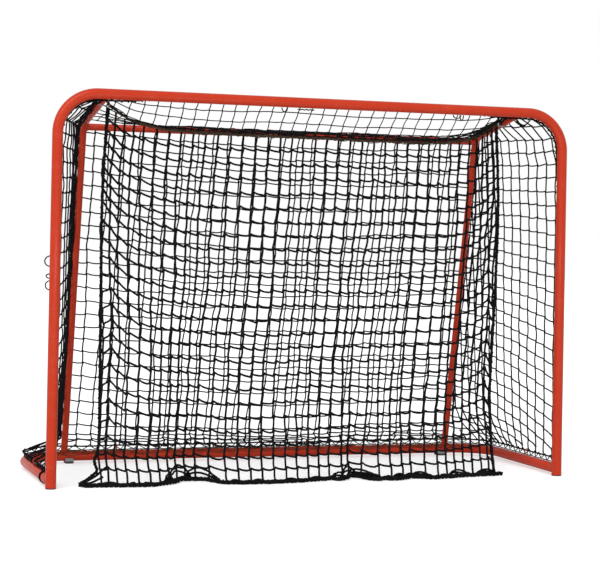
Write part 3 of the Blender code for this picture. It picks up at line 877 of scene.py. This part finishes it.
# The edge ropes' lines: in from the stay, depth, height
LEFT_EDGE_HANG = [
    (0.008, 0.092, 0.850), (0.004, 0.064, 0.560), (0.001, 0.036, 0.260), (-0.001, 0.030, 0.123),
    (-0.013, 0.027, 0.076), (-0.004, 0.032, 0.050), (-0.014, 0.037, 0.034),
]
RIGHT_EDGE_HANG = [
    (0.016, 0.136, 0.850), (0.030, 0.120, 0.560), (0.050, 0.100, 0.260), (0.047, 0.090, 0.110),
    (0.050, 0.070, 0.050),
]
EDGE_TUCK = {-1: 0.004, 1: 0.020}
hem_route = Route(smooth([behind_goal(x, depth, hem_r + JOINT_GAP) for x, depth in HEM_LAY], 8))


def edge_line(side, chosen):
    top = head_point(side * head_tip_x) - UP * (head_r + 0.0013)
    top.x += side * edge_r
    hem_end = hem_route.points[0] if side < 0 else hem_route.points[-1]
    behind = hem_r + edge_cord_r + 0.0008
    low = hem_end + Vector((-side * EDGE_TUCK[side], behind, edge_cord_r - hem_r))
    hung = [behind_goal(side * (stay_x - inset), depth, z) for inset, depth, z in chosen]
    return Route(smooth([top, *hung, low], 12))


left_edge = edge_line(-1, LEFT_EDGE_HANG)
right_edge = edge_line(1, RIGHT_EDGE_HANG)
KNOT_COLUMNS = 37
KNOT_ROWS = 25
ROW_SHRINK = 0.06
# Where the net's columns meet its head and its hem: column, and share of the width
HEAD_SPREAD = [
    (0, 0.000), (1, 0.018), (2, 0.039), (3, 0.063), (4, 0.087), (5, 0.117), (10, 0.269), (15, 0.426),
    (20, 0.576), (25, 0.731), (30, 0.877), (31, 0.900), (32, 0.928), (33, 0.948), (34, 0.964), (35, 0.978),
    (36, 0.989), (37, 1.000),
]
HEM_SPREAD = [
    (0, 0.000), (1, 0.017), (2, 0.037), (3, 0.060), (5, 0.114), (10, 0.242), (15, 0.385), (20, 0.534),
    (25, 0.680), (30, 0.836), (34, 0.938), (35, 0.963), (36, 0.984), (37, 1.000),
]
HEM_REACH = (-0.666, 0.612)
LEFT_LIFT = (0.070, 0.030)
RIGHT_LIFT = (0.046, 0.014)


def edge_lift(columns, v, lift):
    """How much higher a row hangs near an edge rope, this many columns away from it."""
    near, wide = lift
    shown = min(1, v * 3) * max(0, min(1, (1 - v) * 4))
    height = near * math.exp(-columns / 2.3) + wide * max(0, 1 - columns / 9)
    if columns == 0:
        height -= 0.052 * max(0, min(1, (v - 0.30) * 4))
    return height * shown


def build_drop_net():
    net = Net(DROP_STRAND, 0.058, 0.0040, 11)
    hem_x, hem_y, _ = np.array(hem_route.points).T
    head_out = head_tip_x - edge_r

    def column_share(index, v):
        """How far across a column hangs: the columns crowd at both ends."""
        high, low = (float(np.interp(index, *zip(*spread))) for spread in (HEAD_SPREAD, HEM_SPREAD))
        return high * (1 - v) + low * v

    def top(u):
        return head_point((2 * u - 1) * head_out) - UP * (head_r + drop_r)

    def bottom(u):
        x = HEM_REACH[0] + (HEM_REACH[1] - HEM_REACH[0]) * u
        return Vector((x, float(np.interp(x, hem_x, hem_y)), hem_r * 1.7))

    def side_edge(route, side, v):
        travelled = route.length * v
        inward = route.along(travelled).cross(BACK) * -side
        return route.at(travelled) + inward.normalized() * EDGE_STRAND * 0.35

    def surface(u, v):
        """The head and hem joined straight, then pulled over to the edge ropes at both sides."""
        held = min(v, 0.945)
        pull_left = side_edge(left_edge, -1, held) - top(0).lerp(bottom(0), held)
        pull_right = side_edge(right_edge, 1, held) - top(1).lerp(bottom(1), held)
        hold = 1 - v**12
        return top(u).lerp(bottom(u), v) + (pull_left * (1 - u) + pull_right * u) * hold

    knots = {}
    for row in range(KNOT_ROWS + 1):
        share = row / KNOT_ROWS
        v = share * (1 + ROW_SHRINK / 2) - ROW_SHRINK / 2 * share**2
        for index in range(KNOT_COLUMNS + 1):
            u = column_share(index, v)
            point = surface(u, v)
            rise = edge_lift(index, v, LEFT_LIFT) + edge_lift(KNOT_COLUMNS - index, v, RIGHT_LIFT)
            loose = min(1, v * 8) * min(1, (1 - v) * 5)
            shift = wander(point, 0.009, 4.0, 2.0) * loose
            shift += net.jitter(0.0011) * loose
            shift.y = shift.y * 1.4 + 0.012 * math.sin(math.pi * u) * math.sin(math.pi * v)
            knots[index, row] = point + UP * rise + shift
    for index in range(KNOT_COLUMNS + 1):
        net.run([knots[index, row] for row in range(KNOT_ROWS + 1)], RIGHT * 0.0010)
    for row in range(1, KNOT_ROWS):
        net.run([knots[index, row] for index in range(KNOT_COLUMNS + 1)], UP * 0.0034, 3)
        for index in range(1, KNOT_COLUMNS):
            net.knot(knots[index, row], RIGHT, -UP, 1.5)
    return finished("drop_net_mesh", net.mesh(), thick_cord, ("drop_net",), 0)


def lifted(line, low):
    """The line with no point under this height."""
    for point in line:
        point.z = max(point.z, low)
    return line


def build_drop_ropes():
    ropes = [laid_rope("drop_hem_line", hem_route.points, hem_r, 0.042, "drop_hem_rope", 10, 12)]
    for name, route in (("left", left_edge), ("right", right_edge)):
        ropes.append(laid_rope("drop_edge_line_" + name, route.points, edge_cord_r, 0.030,
                               "drop_edge_rope_" + name, 10, 12))
    head = [head_point(head_tip_x * (2 * step / 120 - 1)) for step in range(121)]
    tails = []
    for side, end in ((-1, head[0]), (1, head[-1])):
        tail = []
        for step in range(9):
            share = step / 8
            turned = min(1, share * 3)
            forward = share * HEAD_TAIL
            out = side * HEAD_ROPE * math.sin(turned * math.pi / 2)
            tail.append(end + Vector((out, -forward, forward * arm_slope)))
        tails.append(tail)
    line = [*reversed(tails[0][1:]), *head, *tails[1][1:]]
    rope = laid_rope("drop_head_line", line, head_r, 0.026, "drop_head_rope",
                     material=dusty_yarn)
    head_route = Route(head)
    lashing = [wound(head_route, 0.004, head_route.length - 0.004, head_r + 0.0006, 0.019, 9, 0.1, 0.35)]
    on_floor = wound(hem_route, 0.01, hem_route.length - 0.01, hem_r + 0.0002, 0.040, 12, 0.2, 0.15)
    lashing.append(lifted(on_floor, 0.0013))
    for route in (left_edge, right_edge):
        lashing.append(wound(route, 0.01, route.length - 0.01, edge_cord_r + 0.0002, 0.030, 10, 0.4, 0.2))
    return [*ropes, rope, cords("drop_net_lashing", lashing, 0.0012, thin_cord)]


# Loops of spare net on the hem: from x, to x, height, and reach back
HEM_FOLDS = [
    (-0.462, -0.366, 0.045, 0.025), (-0.395, -0.300, 0.036, 0.004),
    (-0.470, -0.440, 0.028, 0.006), (0.062, 0.100, 0.024, -0.006),
    (0.084, 0.160, 0.034, 0.004), (0.120, 0.205, 0.024, 0.000), (0.150, 0.215, 0.018, -0.012),
    (0.245, 0.300, 0.016, 0.004), (0.282, 0.340, 0.013, -0.004), (0.322, 0.380, 0.017, 0.004),
    (0.440, 0.520, 0.020, 0.010), (0.545, 0.620, 0.018, 0.004),
]
# Strands pulled to the left corner: x, height, depth
CORNER_STRANDS = [
    [(-0.640, 0.060, 0.034), (-0.652, 0.052, 0.032), (-0.662, 0.044, 0.030), (-0.677, 0.032, 0.027),
     (-0.694, 0.022, 0.026), (-0.714, 0.010, 0.036)],
    [(-0.655, 0.028, 0.030), (-0.672, 0.020, 0.028), (-0.690, 0.012, 0.030), (-0.712, 0.006, 0.044)],
]


def on_hem(x):
    return min(hem_route.points, key=lambda point: abs(point.x - x))


def build_hem_folds():
    """Spare net lying along the hem: loops of its cord, and strands bundled with the hem rope."""
    chance = random.Random(23)
    radius = DROP_STRAND / 2
    lines = []
    for first, last, height, back in HEM_FOLDS:
        for number in range(2):
            line = []
            for step in range(17):
                share = step / 16
                x = first + (last - first) * share + chance.gauss(0, 0.0012)
                rise = math.sin(math.pi * share) ** 0.6 * height * (1 - 0.45 * number)
                depth = back * math.sin(math.pi * share) + 0.010 * number + hem_r
                y = on_hem(x).y + depth + chance.gauss(0, 0.0012)
                line.append(Vector((x, y, radius + 0.0004 + rise)))
            lines.append(line)
    for strand in CORNER_STRANDS:
        lines.append(smooth([behind_goal(x, depth, z) for x, z, depth in strand], 4))
    bundle = wound(hem_route, 0.004, hem_route.length - 0.004, hem_r + 0.0012, 0.075, 9, 0.55, 0.7)
    lines.append(lifted(bundle, radius + 0.0004))
    return cords("hem_folds", lines, radius, thick_cord)


def build_head_fringe():
    """Worn ends and slack of the main net's cord along the head rope."""
    lines = []
    half = head_tip_x - 0.09
    for number in range(11):
        line = []
        for step in range(241):
            x = half * (2 * step / 240 - 1)
            sway = noise.noise_vector((x * 22, number * 3.7, 1.5))
            fine = noise.noise_vector((x * 90, number * 2.9, 7.5))
            drop = 0.007 * sway.z + 0.004 * fine.z - 0.0035
            forward = -abs(0.007 * sway.y + 0.003 * fine.y) - head_r - 0.0035
            line.append(head_point(x) + Vector((0, forward, drop)))
        lines.append(line)
    finished("head_fringe", shaped(swept(lines, 0.00095, 5)), faded_cord, (), 0)


SIDE_FLARE = {-1: 0.034, 1: 0.110}
CELL = 0.0410
side_front_y = goal_y + rope_out + 0.004
net_foot_z = base_z + BASE_ROPE_LIFT


def base_side_x(y):
    """How far out the base rope is at this depth."""
    turn_y = base_y - BASE_CORNER_RADIUS
    if y < turn_y:
        return post_x + base_rope_out
    reach = BASE_CORNER_RADIUS + base_rope_out
    inside = max(reach**2 - (y - turn_y) ** 2, 0.0)
    return max(post_x - BASE_CORNER_RADIUS + math.sqrt(inside), stay_x + stay_r)


def side_place(side, y, z, slack=0.0):
    """A point on a side of the main net, between the post and the stay. Slack bellies it inward.

    Low down it flares out to the base rope, and on the right its columns lean back as they do.
    """
    corner_z = crossbar_z - TOP_CORNER_RADIUS
    front_x = post_x
    if z > corner_z:
        rise = min(z - corner_z, TOP_CORNER_RADIUS - 0.0165)
        front_x += math.sqrt((TOP_CORNER_RADIUS - 0.014) ** 2 - rise**2) - TOP_CORNER_RADIUS
    rear_y = leg_y(z) if z < STAY_BEND_HEIGHT else goal_y + (crossbar_z - z) / arm_slope
    rear_x = stay_x + stay_r + 0.002
    share = max(0.0, min(1.0, (y - side_front_y) / max(rear_y - side_front_y, 0.01)))
    x = front_x + (rear_x - front_x) * share
    fade = min(1, max(0, (z - 0.10) * 4)) * min(1, max(0, (1.12 - z) * 8))
    x -= slack * math.sin(math.pi * share**0.7) * fade
    flare = max(0.0, min(1.0, (net_foot_z + SIDE_FLARE[side] - z) / SIDE_FLARE[side])) ** 1.5
    low_y = y
    out = 0.0
    for _ in range(6):
        out = (base_side_x(low_y) - x) * flare
        if side > 0:
            low_y = min(y + 2.4 * (1 - share) * out, rear_y + 0.004)
    return Vector((side * (x + out), low_y, z))


def side_row_z(row, y):
    """Height of a row of side knots: level at the top, and ever more tilted down to the front below."""
    z = 1.130 - row * CELL
    forward = 0.02 - y
    tilt = max(0.0, 0.52 * (0.99 - z))
    turned = max(forward, -0.36) * abs(forward) * (1 if forward > 0 else -1)
    return z - tilt * (0.72 * forward + turned - 0.035)


def side_column_y(column, z):
    """Depth of a column of side knots: a cell apart, and a little further back lower down."""
    low = 1 - max(0.0, min(1.0, (z - 0.2) / 0.7))
    return side_front_y + 0.009 + column * 0.0395 + low * 0.010 * min(1, column / 3)


def side_top_z(y):
    if y <= bend_y:
        return arm_z(y) + stay_r * 0.4
    return base_z + (base_y - y) / leg_slope


def build_side_net(name, side, node, slack):
    net = Net(MAIN_STRAND, 0.03, 0.0026, 31 + side)
    knots = {}
    columns = 16
    rows = 31
    for column in range(columns):
        for row in range(rows):
            y = side_column_y(column, 1.130 - row * CELL)
            z = side_row_z(row, y)
            if net_foot_z + 0.008 < z < side_top_z(y) - 0.006:
                shift = wander(Vector((0, y, z)), 0.005, 6.0, 5.0 + side)
                shift += net.jitter(0.0010)
                shift.x *= 0.5
                knots[column, row] = side_place(side, y, z, slack) + shift
    for column in range(columns):
        inner = [knots[column, row] for row in range(rows) if (column, row) in knots]
        if inner:
            high = side_place(side, inner[0].y, side_top_z(inner[0].y))
            low = side_place(side, side_column_y(column, net_foot_z), net_foot_z)
            net.run([high, *inner, low], BACK * 0.0008)
    for row in range(rows):
        inner = [knots[column, row] for column in range(columns) if (column, row) in knots]
        if not inner:
            continue
        front_z = side_row_z(row, side_front_y)
        if front_z > net_foot_z:
            inner.insert(0, side_place(side, side_front_y, min(front_z, crossbar_z - 0.018)))
        rear_z = side_row_z(row, leg_y(max(net_foot_z, min(front_z, STAY_BEND_HEIGHT))))
        if net_foot_z + 0.01 < rear_z < STAY_BEND_HEIGHT - 0.012:
            inner.append(Vector((side * (stay_x + stay_r + 0.002), leg_y(rear_z) + 0.004, rear_z)))
        if len(inner) > 1:
            net.run(inner, UP * 0.0016)
    for point in knots.values():
        net.knot(point, BACK, -UP, 1.55)
    return finished(name, net.mesh(), thin_cord, (node,), 0)


def build_back_net():
    net = Net(MAIN_STRAND, 0.03, 0.0026, 47)
    columns = 28
    foot_z = net_foot_z
    top_z = bar_centre.z
    out = stay_r * math.hypot(1, leg_slope) + 0.003
    half = stay_x + stay_r * 0.6
    rows = 27

    def row_z(row, u):
        z = top_z - 0.020 - row * CELL * 1.005
        z -= 0.020 * math.sin(math.pi * u) + 0.010 * (u - 0.5)
        floor = foot_z + 0.009
        pile = 0.050
        if z < floor + pile:
            z = floor + pile * math.exp((z - floor - pile) / pile)
        return z

    knots = {}
    for index in range(columns + 1):
        u = index / columns
        for row in range(rows):
            z = row_z(row, u)
            point = Vector(((2 * u - 1) * half, leg_y(z) + out, z))
            loose = min(1, (top_z - z) * 12)
            shift = wander(point, 0.009, 5.0, 9.0) * loose
            shift += net.jitter(0.0012) * loose
            near_foot = max(0, 1 - (z - foot_z) / 0.09)
            shift.y = abs(shift.y) * 0.8 + 0.014 * near_foot * math.sin(row * 2.4 + index * 0.7)
            if index in (0, columns):
                shift.x = 0
            knots[index, row] = point + shift
    for index in range(columns + 1):
        u = index / columns
        x = (2 * u - 1) * half
        head = Vector((x, roof_rear_y + stay_r, top_z + stay_r * 0.5))
        foot = Vector((x, base_y + base_rope_out, foot_z))
        net.run([head, *[knots[index, row] for row in range(rows)], foot], RIGHT * 0.0008)
    for row in range(rows):
        net.run([knots[index, row] for index in range(columns + 1)], UP * 0.0016)
        for index in range(1, columns):
            net.knot(knots[index, row], RIGHT, -UP, 1.55)
    return finished("back_net_mesh", net.mesh(), thin_cord, ("back_net",), 0)


def build_roof_net():
    net = Net(ROOF_STRAND, 0.02, 0.0026, 71)
    columns = 33
    front_rows = 3
    rear_rows = 5
    knots = {}
    for index in range(columns + 1):
        x = (2 * index / columns - 1) * stay_x
        valley = head_y(x)
        for row in range(front_rows + rear_rows + 1):
            if row <= front_rows:
                y = roof_front_y + (valley - roof_front_y) * row / front_rows
            else:
                y = valley + (roof_rear_y - valley) * (row - front_rows) / rear_rows
            point = Vector((x, y, roof_z(x, y)))
            inner = row not in (0, front_rows, front_rows + rear_rows) and 0 < index < columns
            if inner:
                point += wander(point, 0.007, 6.0, 13.0)
            knots[index, row] = point
    for index in range(columns + 1):
        line = [knots[index, row] for row in range(front_rows + rear_rows + 1)]
        start = line[0].copy()
        start.y = goal_y + rope_out
        net.run([start, *line], RIGHT * 0.0008)
    for row in range(front_rows + rear_rows + 1):
        net.run([knots[index, row] for index in range(columns + 1)], BACK * 0.0014)
        for index in range(1, columns):
            net.knot(knots[index, row], RIGHT, BACK, 1.5)
    return finished("roof_net_mesh", net.mesh(), thin_cord, ("roof_net",), 0)


# Gathers, lacing and straps

def build_gathers():
    """The net's slack, bunched over the stays' arms and down the outside of their legs."""
    chance = random.Random(5)
    lines = []
    for side in (-1, 1):
        arm = Route([Vector((side * stay_x, goal_y + 0.018, arm_z(goal_y + 0.018))),
                     Vector((side * stay_x, bend_y - 0.01, arm_z(bend_y - 0.01)))])
        for number in range(10):
            turn = math.radians(chance.uniform(30, 130) if side < 0 else chance.uniform(-115, 20))
            out = stay_r + chance.uniform(0.002, 0.010)
            line = []
            for stop in arm.spaced(0.012):
                sway = noise.noise((stop * 14, number * 3.3, side)) * 0.9
                spread = out + 0.006 * noise.noise((stop * 20, number * 1.7, 4.0))
                angle = turn + sway
                reach = Vector((side * math.sin(angle), 0, math.cos(angle)))
                line.append(arm.at(stop) + reach * max(spread, stay_r + 0.0022))
            lines.append(line)
        for number in range(5 if side < 0 else 3):
            line = []
            turn = math.radians(chance.uniform(68, 128))
            low = chance.uniform(0.10, 0.40)
            for step in range(60):
                z = STAY_BEND_HEIGHT - 0.004 - (STAY_BEND_HEIGHT - low) * step / 59
                angle = turn + 0.7 * noise.noise((z * 9, number * 5.1, side * 2.0))
                reach = stay_r + 0.0024 + 0.010 * abs(noise.noise((z * 12, number * 2.2, 8.0)))
                x = side * (stay_x + math.sin(angle) * reach)
                line.append(Vector((x, leg_y(z) - math.cos(angle) * reach, z)))
            lines.append(line)
    cords("net_gathers", lines, 0.0017, thin_cord)


def build_base_lacing():
    """A line along the base tube, laced in a zigzag to its border rope, and net slack on the rear tube."""
    chance = random.Random(17)
    first = base_rope_start + 0.02
    last = base_route.length - first
    lines = [[above_base(stop, frame_r + 0.0020 + 0.0010 * noise.noise((stop * 40, 2.0, 0)), 0.004)
              for stop in base_route.spaced(0.010, first, last)]]
    zigzag = []
    for index, stop in enumerate(base_route.spaced(0.0210, first, last)):
        near = stop + chance.gauss(0, 0.0028)
        if index % 2:
            centre = above_base(near, BASE_ROPE_LIFT)
            for step in range(5):
                angle = math.pi * (0.1 + 0.9 * step / 4)
                turned = UP * math.sin(angle) * (rope_r + 0.0018)
                zigzag.append(centre + turned - base_route.along(near, 0.004) * math.cos(angle) * 0.0035)
        else:
            zigzag.append(above_base(near, frame_r + 0.0020 + abs(chance.gauss(0, 0.0025)), 0.004))
    lines.append(smooth(zigzag, 2))
    cords("base_lacing", lines, 0.0017, thin_cord)

    rear_first, rear_last = 0.60, base_route.length - 0.60
    slack = []
    for number in range(4):
        line = []
        for stop in base_route.spaced(0.009, rear_first + 0.02 * number, rear_last - 0.03 * number):
            sway = noise.noise((stop * 16, number * 4.1, 3.0))
            sway += 0.5 * noise.noise((stop * 48, number * 1.9, 6.0))
            angle = math.radians(22 + 18 * number + 30 * sway)
            reach = frame_r + 0.0026 + 0.006 * abs(noise.noise((stop * 21, number * 2.3, 9.0)))
            line.append(above_base(stop, math.sin(angle) * reach, -math.cos(angle) * reach))
        slack.append(line)
    cells = []
    for index, stop in enumerate(base_route.spaced(0.019, rear_first, rear_last)):
        angle = math.radians((20 if index % 2 else 96) + chance.gauss(0, 14))
        reach = frame_r + 0.006
        moved = stop + chance.gauss(0, 0.003)
        cells.append(above_base(moved, math.sin(angle) * reach, -math.cos(angle) * reach))
    slack.append(smooth(cells, 4))
    cords("base_slack", slack, 0.0010, faded_cord)


def arc(centre, across, up, first, last, steps=12):
    """Points of a part of an ellipse, from one angle to another in degrees."""
    angles = [math.radians(first + (last - first) * step / steps) for step in range(steps + 1)]
    return [Vector(centre) + across * math.cos(angle) + up * math.sin(angle) for angle in angles]


def build_loose_ties():
    """Loops of lacing that stand out from the post, and knotted ends under the crossbar and in the corner."""
    outside = -(post_x + frame_r * 0.55)
    behind = goal_y + frame_r + 0.004
    lines = []
    for height, half, reach in ((0.668, 0.016, 0.013), (0.624, 0.007, 0.008), (0.597, 0.014, 0.010)):
        across = Vector((-reach - frame_r * 0.45, -0.010, 0))
        lines.append(arc((outside, behind, height), across, UP * half, -150, 150))
    under = crossbar_z - frame_r - 0.0005
    for x, half, drop in ((-0.120, 0.009, 0.013), (0.450, 0.013, 0.010), (0.466, 0.006, 0.016)):
        lines.append(arc((x, goal_y + 0.006, under), RIGHT * half, UP * drop, 180, 360))
    for shift in (0, 0.003):
        y = goal_y + 0.004 + shift
        lines.append([Vector((-0.078 + 0.0044 * step, y, under - 0.003 - 0.001 * (step % 3)))
                      for step in range(13)])
    dip = [(0.668, 1.146), (0.678, 1.134), (0.690, 1.129), (0.700, 1.131), (0.706, 1.137), (0.716, 1.1465)]
    for shift in (0, 0.004):
        lines.append(smooth([Vector((x, goal_y + 0.030 + shift, z - shift * 0.6)) for x, z in dip], 5))
    cords("loose_ties", lines, 0.0019, thin_cord)
    turns = wound(base_route, 0.080, 0.112, frame_r + 0.0019, 0.015, 26, 0.0, 0.06)
    cords("base_tube_turns", [turns], 0.0016, thin_cord)


def build_front_lacing():
    """A spiral that holds the net to the front border rope."""
    route = Route(front_rope_line())
    lines = [wound(route, 0.01, route.length - 0.01, rope_r + 0.0014, 0.021, 9, 0.3, 0.3)]
    cords("front_lacing", lines, 0.0013, thin_cord)


def hull_ring(circles, steps):
    """Points of the tight loop round circles, each (x, z, radius), laid out flat."""
    ring = []
    for step in range(steps):
        angle = math.tau * (step + 0.5) / steps
        out = Vector((math.cos(angle), math.sin(angle)))
        x, z, radius = max(circles, key=lambda circle: circle[0] * out.x + circle[1] * out.y + circle[2])
        ring.append((x + radius * out.x, z + radius * out.y, 0))
    return ring


def build_strap(name, side, node):
    """A webbing strap round the stay's arm, with the head rope's tail through its lower end."""
    end = head_point(side * head_tip_x)
    tail = end + Vector((side * HEAD_ROPE, -0.6 * HEAD_TAIL, 0.6 * HEAD_TAIL * arm_slope))
    arm = (side * stay_x, arm_z(tail.y), stay_r * 1.02 + JOINT_GAP)
    ring = hull_ring([arm, (tail.x, tail.z, head_r + JOINT_GAP)], 64)
    curve = bpy.data.curves.new(name, "CURVE")
    curve.dimensions = "2D"
    curve.fill_mode = "NONE"
    curve.extrude = 0.005
    add_spline(curve, ring, True)
    mesh = curve_mesh(curve)
    mesh.transform(Matrix(((1, 0, 0, 0), (0, 0, -1, tail.y), (0, 1, arm_slope, 0), (0, 0, 0, 1))))
    strap = finished(name, mesh, strap_webbing, (node,), 50)
    wall = strap.modifiers.new("thickness", "SOLIDIFY")
    wall.thickness = 0.0014
    wall.offset = 1


def main():
    build_frame()
    for name, side in SIDES:
        build_plug("plug_" + name, side * post_x, "post_plug_" + name)
        build_pad("pad_" + name, side * (stay_x - PAD_FROM_STAY), "rear_pad_" + name)
    build_border_ropes()
    build_eyelets()
    drop = build_drop_net()
    ropes = build_drop_ropes()
    build_hem_folds()
    build_head_fringe()
    for name, side, slack in (("left", -1, 0.022), ("right", 1, 0.004)):
        panel = build_side_net("side_net_mesh_" + name, side, "side_net_" + name, slack)
    build_back_net()
    build_roof_net()
    build_gathers()
    build_base_lacing()
    build_front_lacing()
    build_loose_ties()
    build_strap("corner_webbing_left", -1, "corner_strap_left")
    build_strap("corner_webbing_right", 1, "corner_strap_right")


main()


# Stage

def cleared_tree(owner):
    owner.use_nodes = True
    owner.node_tree.nodes.clear()
    return owner.node_tree


def build_floor():
    """A pale floor that keeps the goal's shadow and turns white toward the camera."""
    shape = bmesh.new()
    bmesh.ops.create_grid(shape, x_segments=1, y_segments=1, size=30)
    floor = bpy.data.objects.new("floor", mesh_of(shape, "floor"))
    scene.collection.objects.link(floor)
    pale = bpy.data.materials.new("pale_floor")
    floor.data.materials.append(pale)
    tree = cleared_tree(pale)
    seen = add_node(tree, "ShaderNodeLightPath").outputs["Is Camera Ray"]
    matt = add_node(tree, "ShaderNodeBsdfDiffuse", {"Color": (0.80, 0.80, 0.80, 1)}).outputs[0]
    glow = add_node(tree, "ShaderNodeEmission", {"Strength": 0.42}).outputs[0]
    both = add_node(tree, "ShaderNodeAddShader", [matt, glow]).outputs[0]
    mixed = add_node(tree, "ShaderNodeMixShader", [seen, matt, both]).outputs[0]
    add_node(tree, "ShaderNodeOutputMaterial", [mixed])


def build_world():
    """Soft light from all round, with a plain white background."""
    scene.world = bpy.data.worlds.new("studio")
    tree = cleared_tree(scene.world)
    rays = add_node(tree, "ShaderNodeLightPath").outputs
    direct = [rays["Is Camera Ray"], rays["Is Transmission Ray"]]
    seen = add_node(tree, "ShaderNodeMath", direct, operation="MAXIMUM")
    soft = add_node(tree, "ShaderNodeBackground", {"Color": (0.97, 0.985, 1.0, 1), "Strength": 0.66})
    white = add_node(tree, "ShaderNodeBackground", {"Color": (1, 1, 1, 1), "Strength": 1.0})
    mixed = add_node(tree, "ShaderNodeMixShader", [part.outputs[0] for part in (seen, soft, white)])
    add_node(tree, "ShaderNodeOutputWorld", [mixed.outputs[0]])


def add_light(name, kind, place, aim, power, **settings):
    lamp = bpy.data.lights.new(name, kind)
    lamp.energy = power
    for key, value in settings.items():
        setattr(lamp, key, value)
    made = bpy.data.objects.new(name, lamp)
    scene.collection.objects.link(made)
    made.location = place
    made.rotation_euler = (Vector(aim) - Vector(place)).to_track_quat("-Z", "Y").to_euler()


build_floor()
build_world()
add_light("soft_key", "SUN", (0, 0, 0), (0.45, 0.75, -0.95), 1.35, angle=math.radians(40))
add_light("low_lamp", "AREA", (-0.5, -2.6, 0.30), (0, 0.3, 0.02), 9, shape="RECTANGLE", size=2.2, size_y=0.3)
add_light("rim_lamp", "AREA", (-3.4, -2.2, 2.6), (-0.6, 0, 0.8), 16, shape="RECTANGLE", size=0.5, size_y=1.6)
scene.view_settings.view_transform = "Standard"
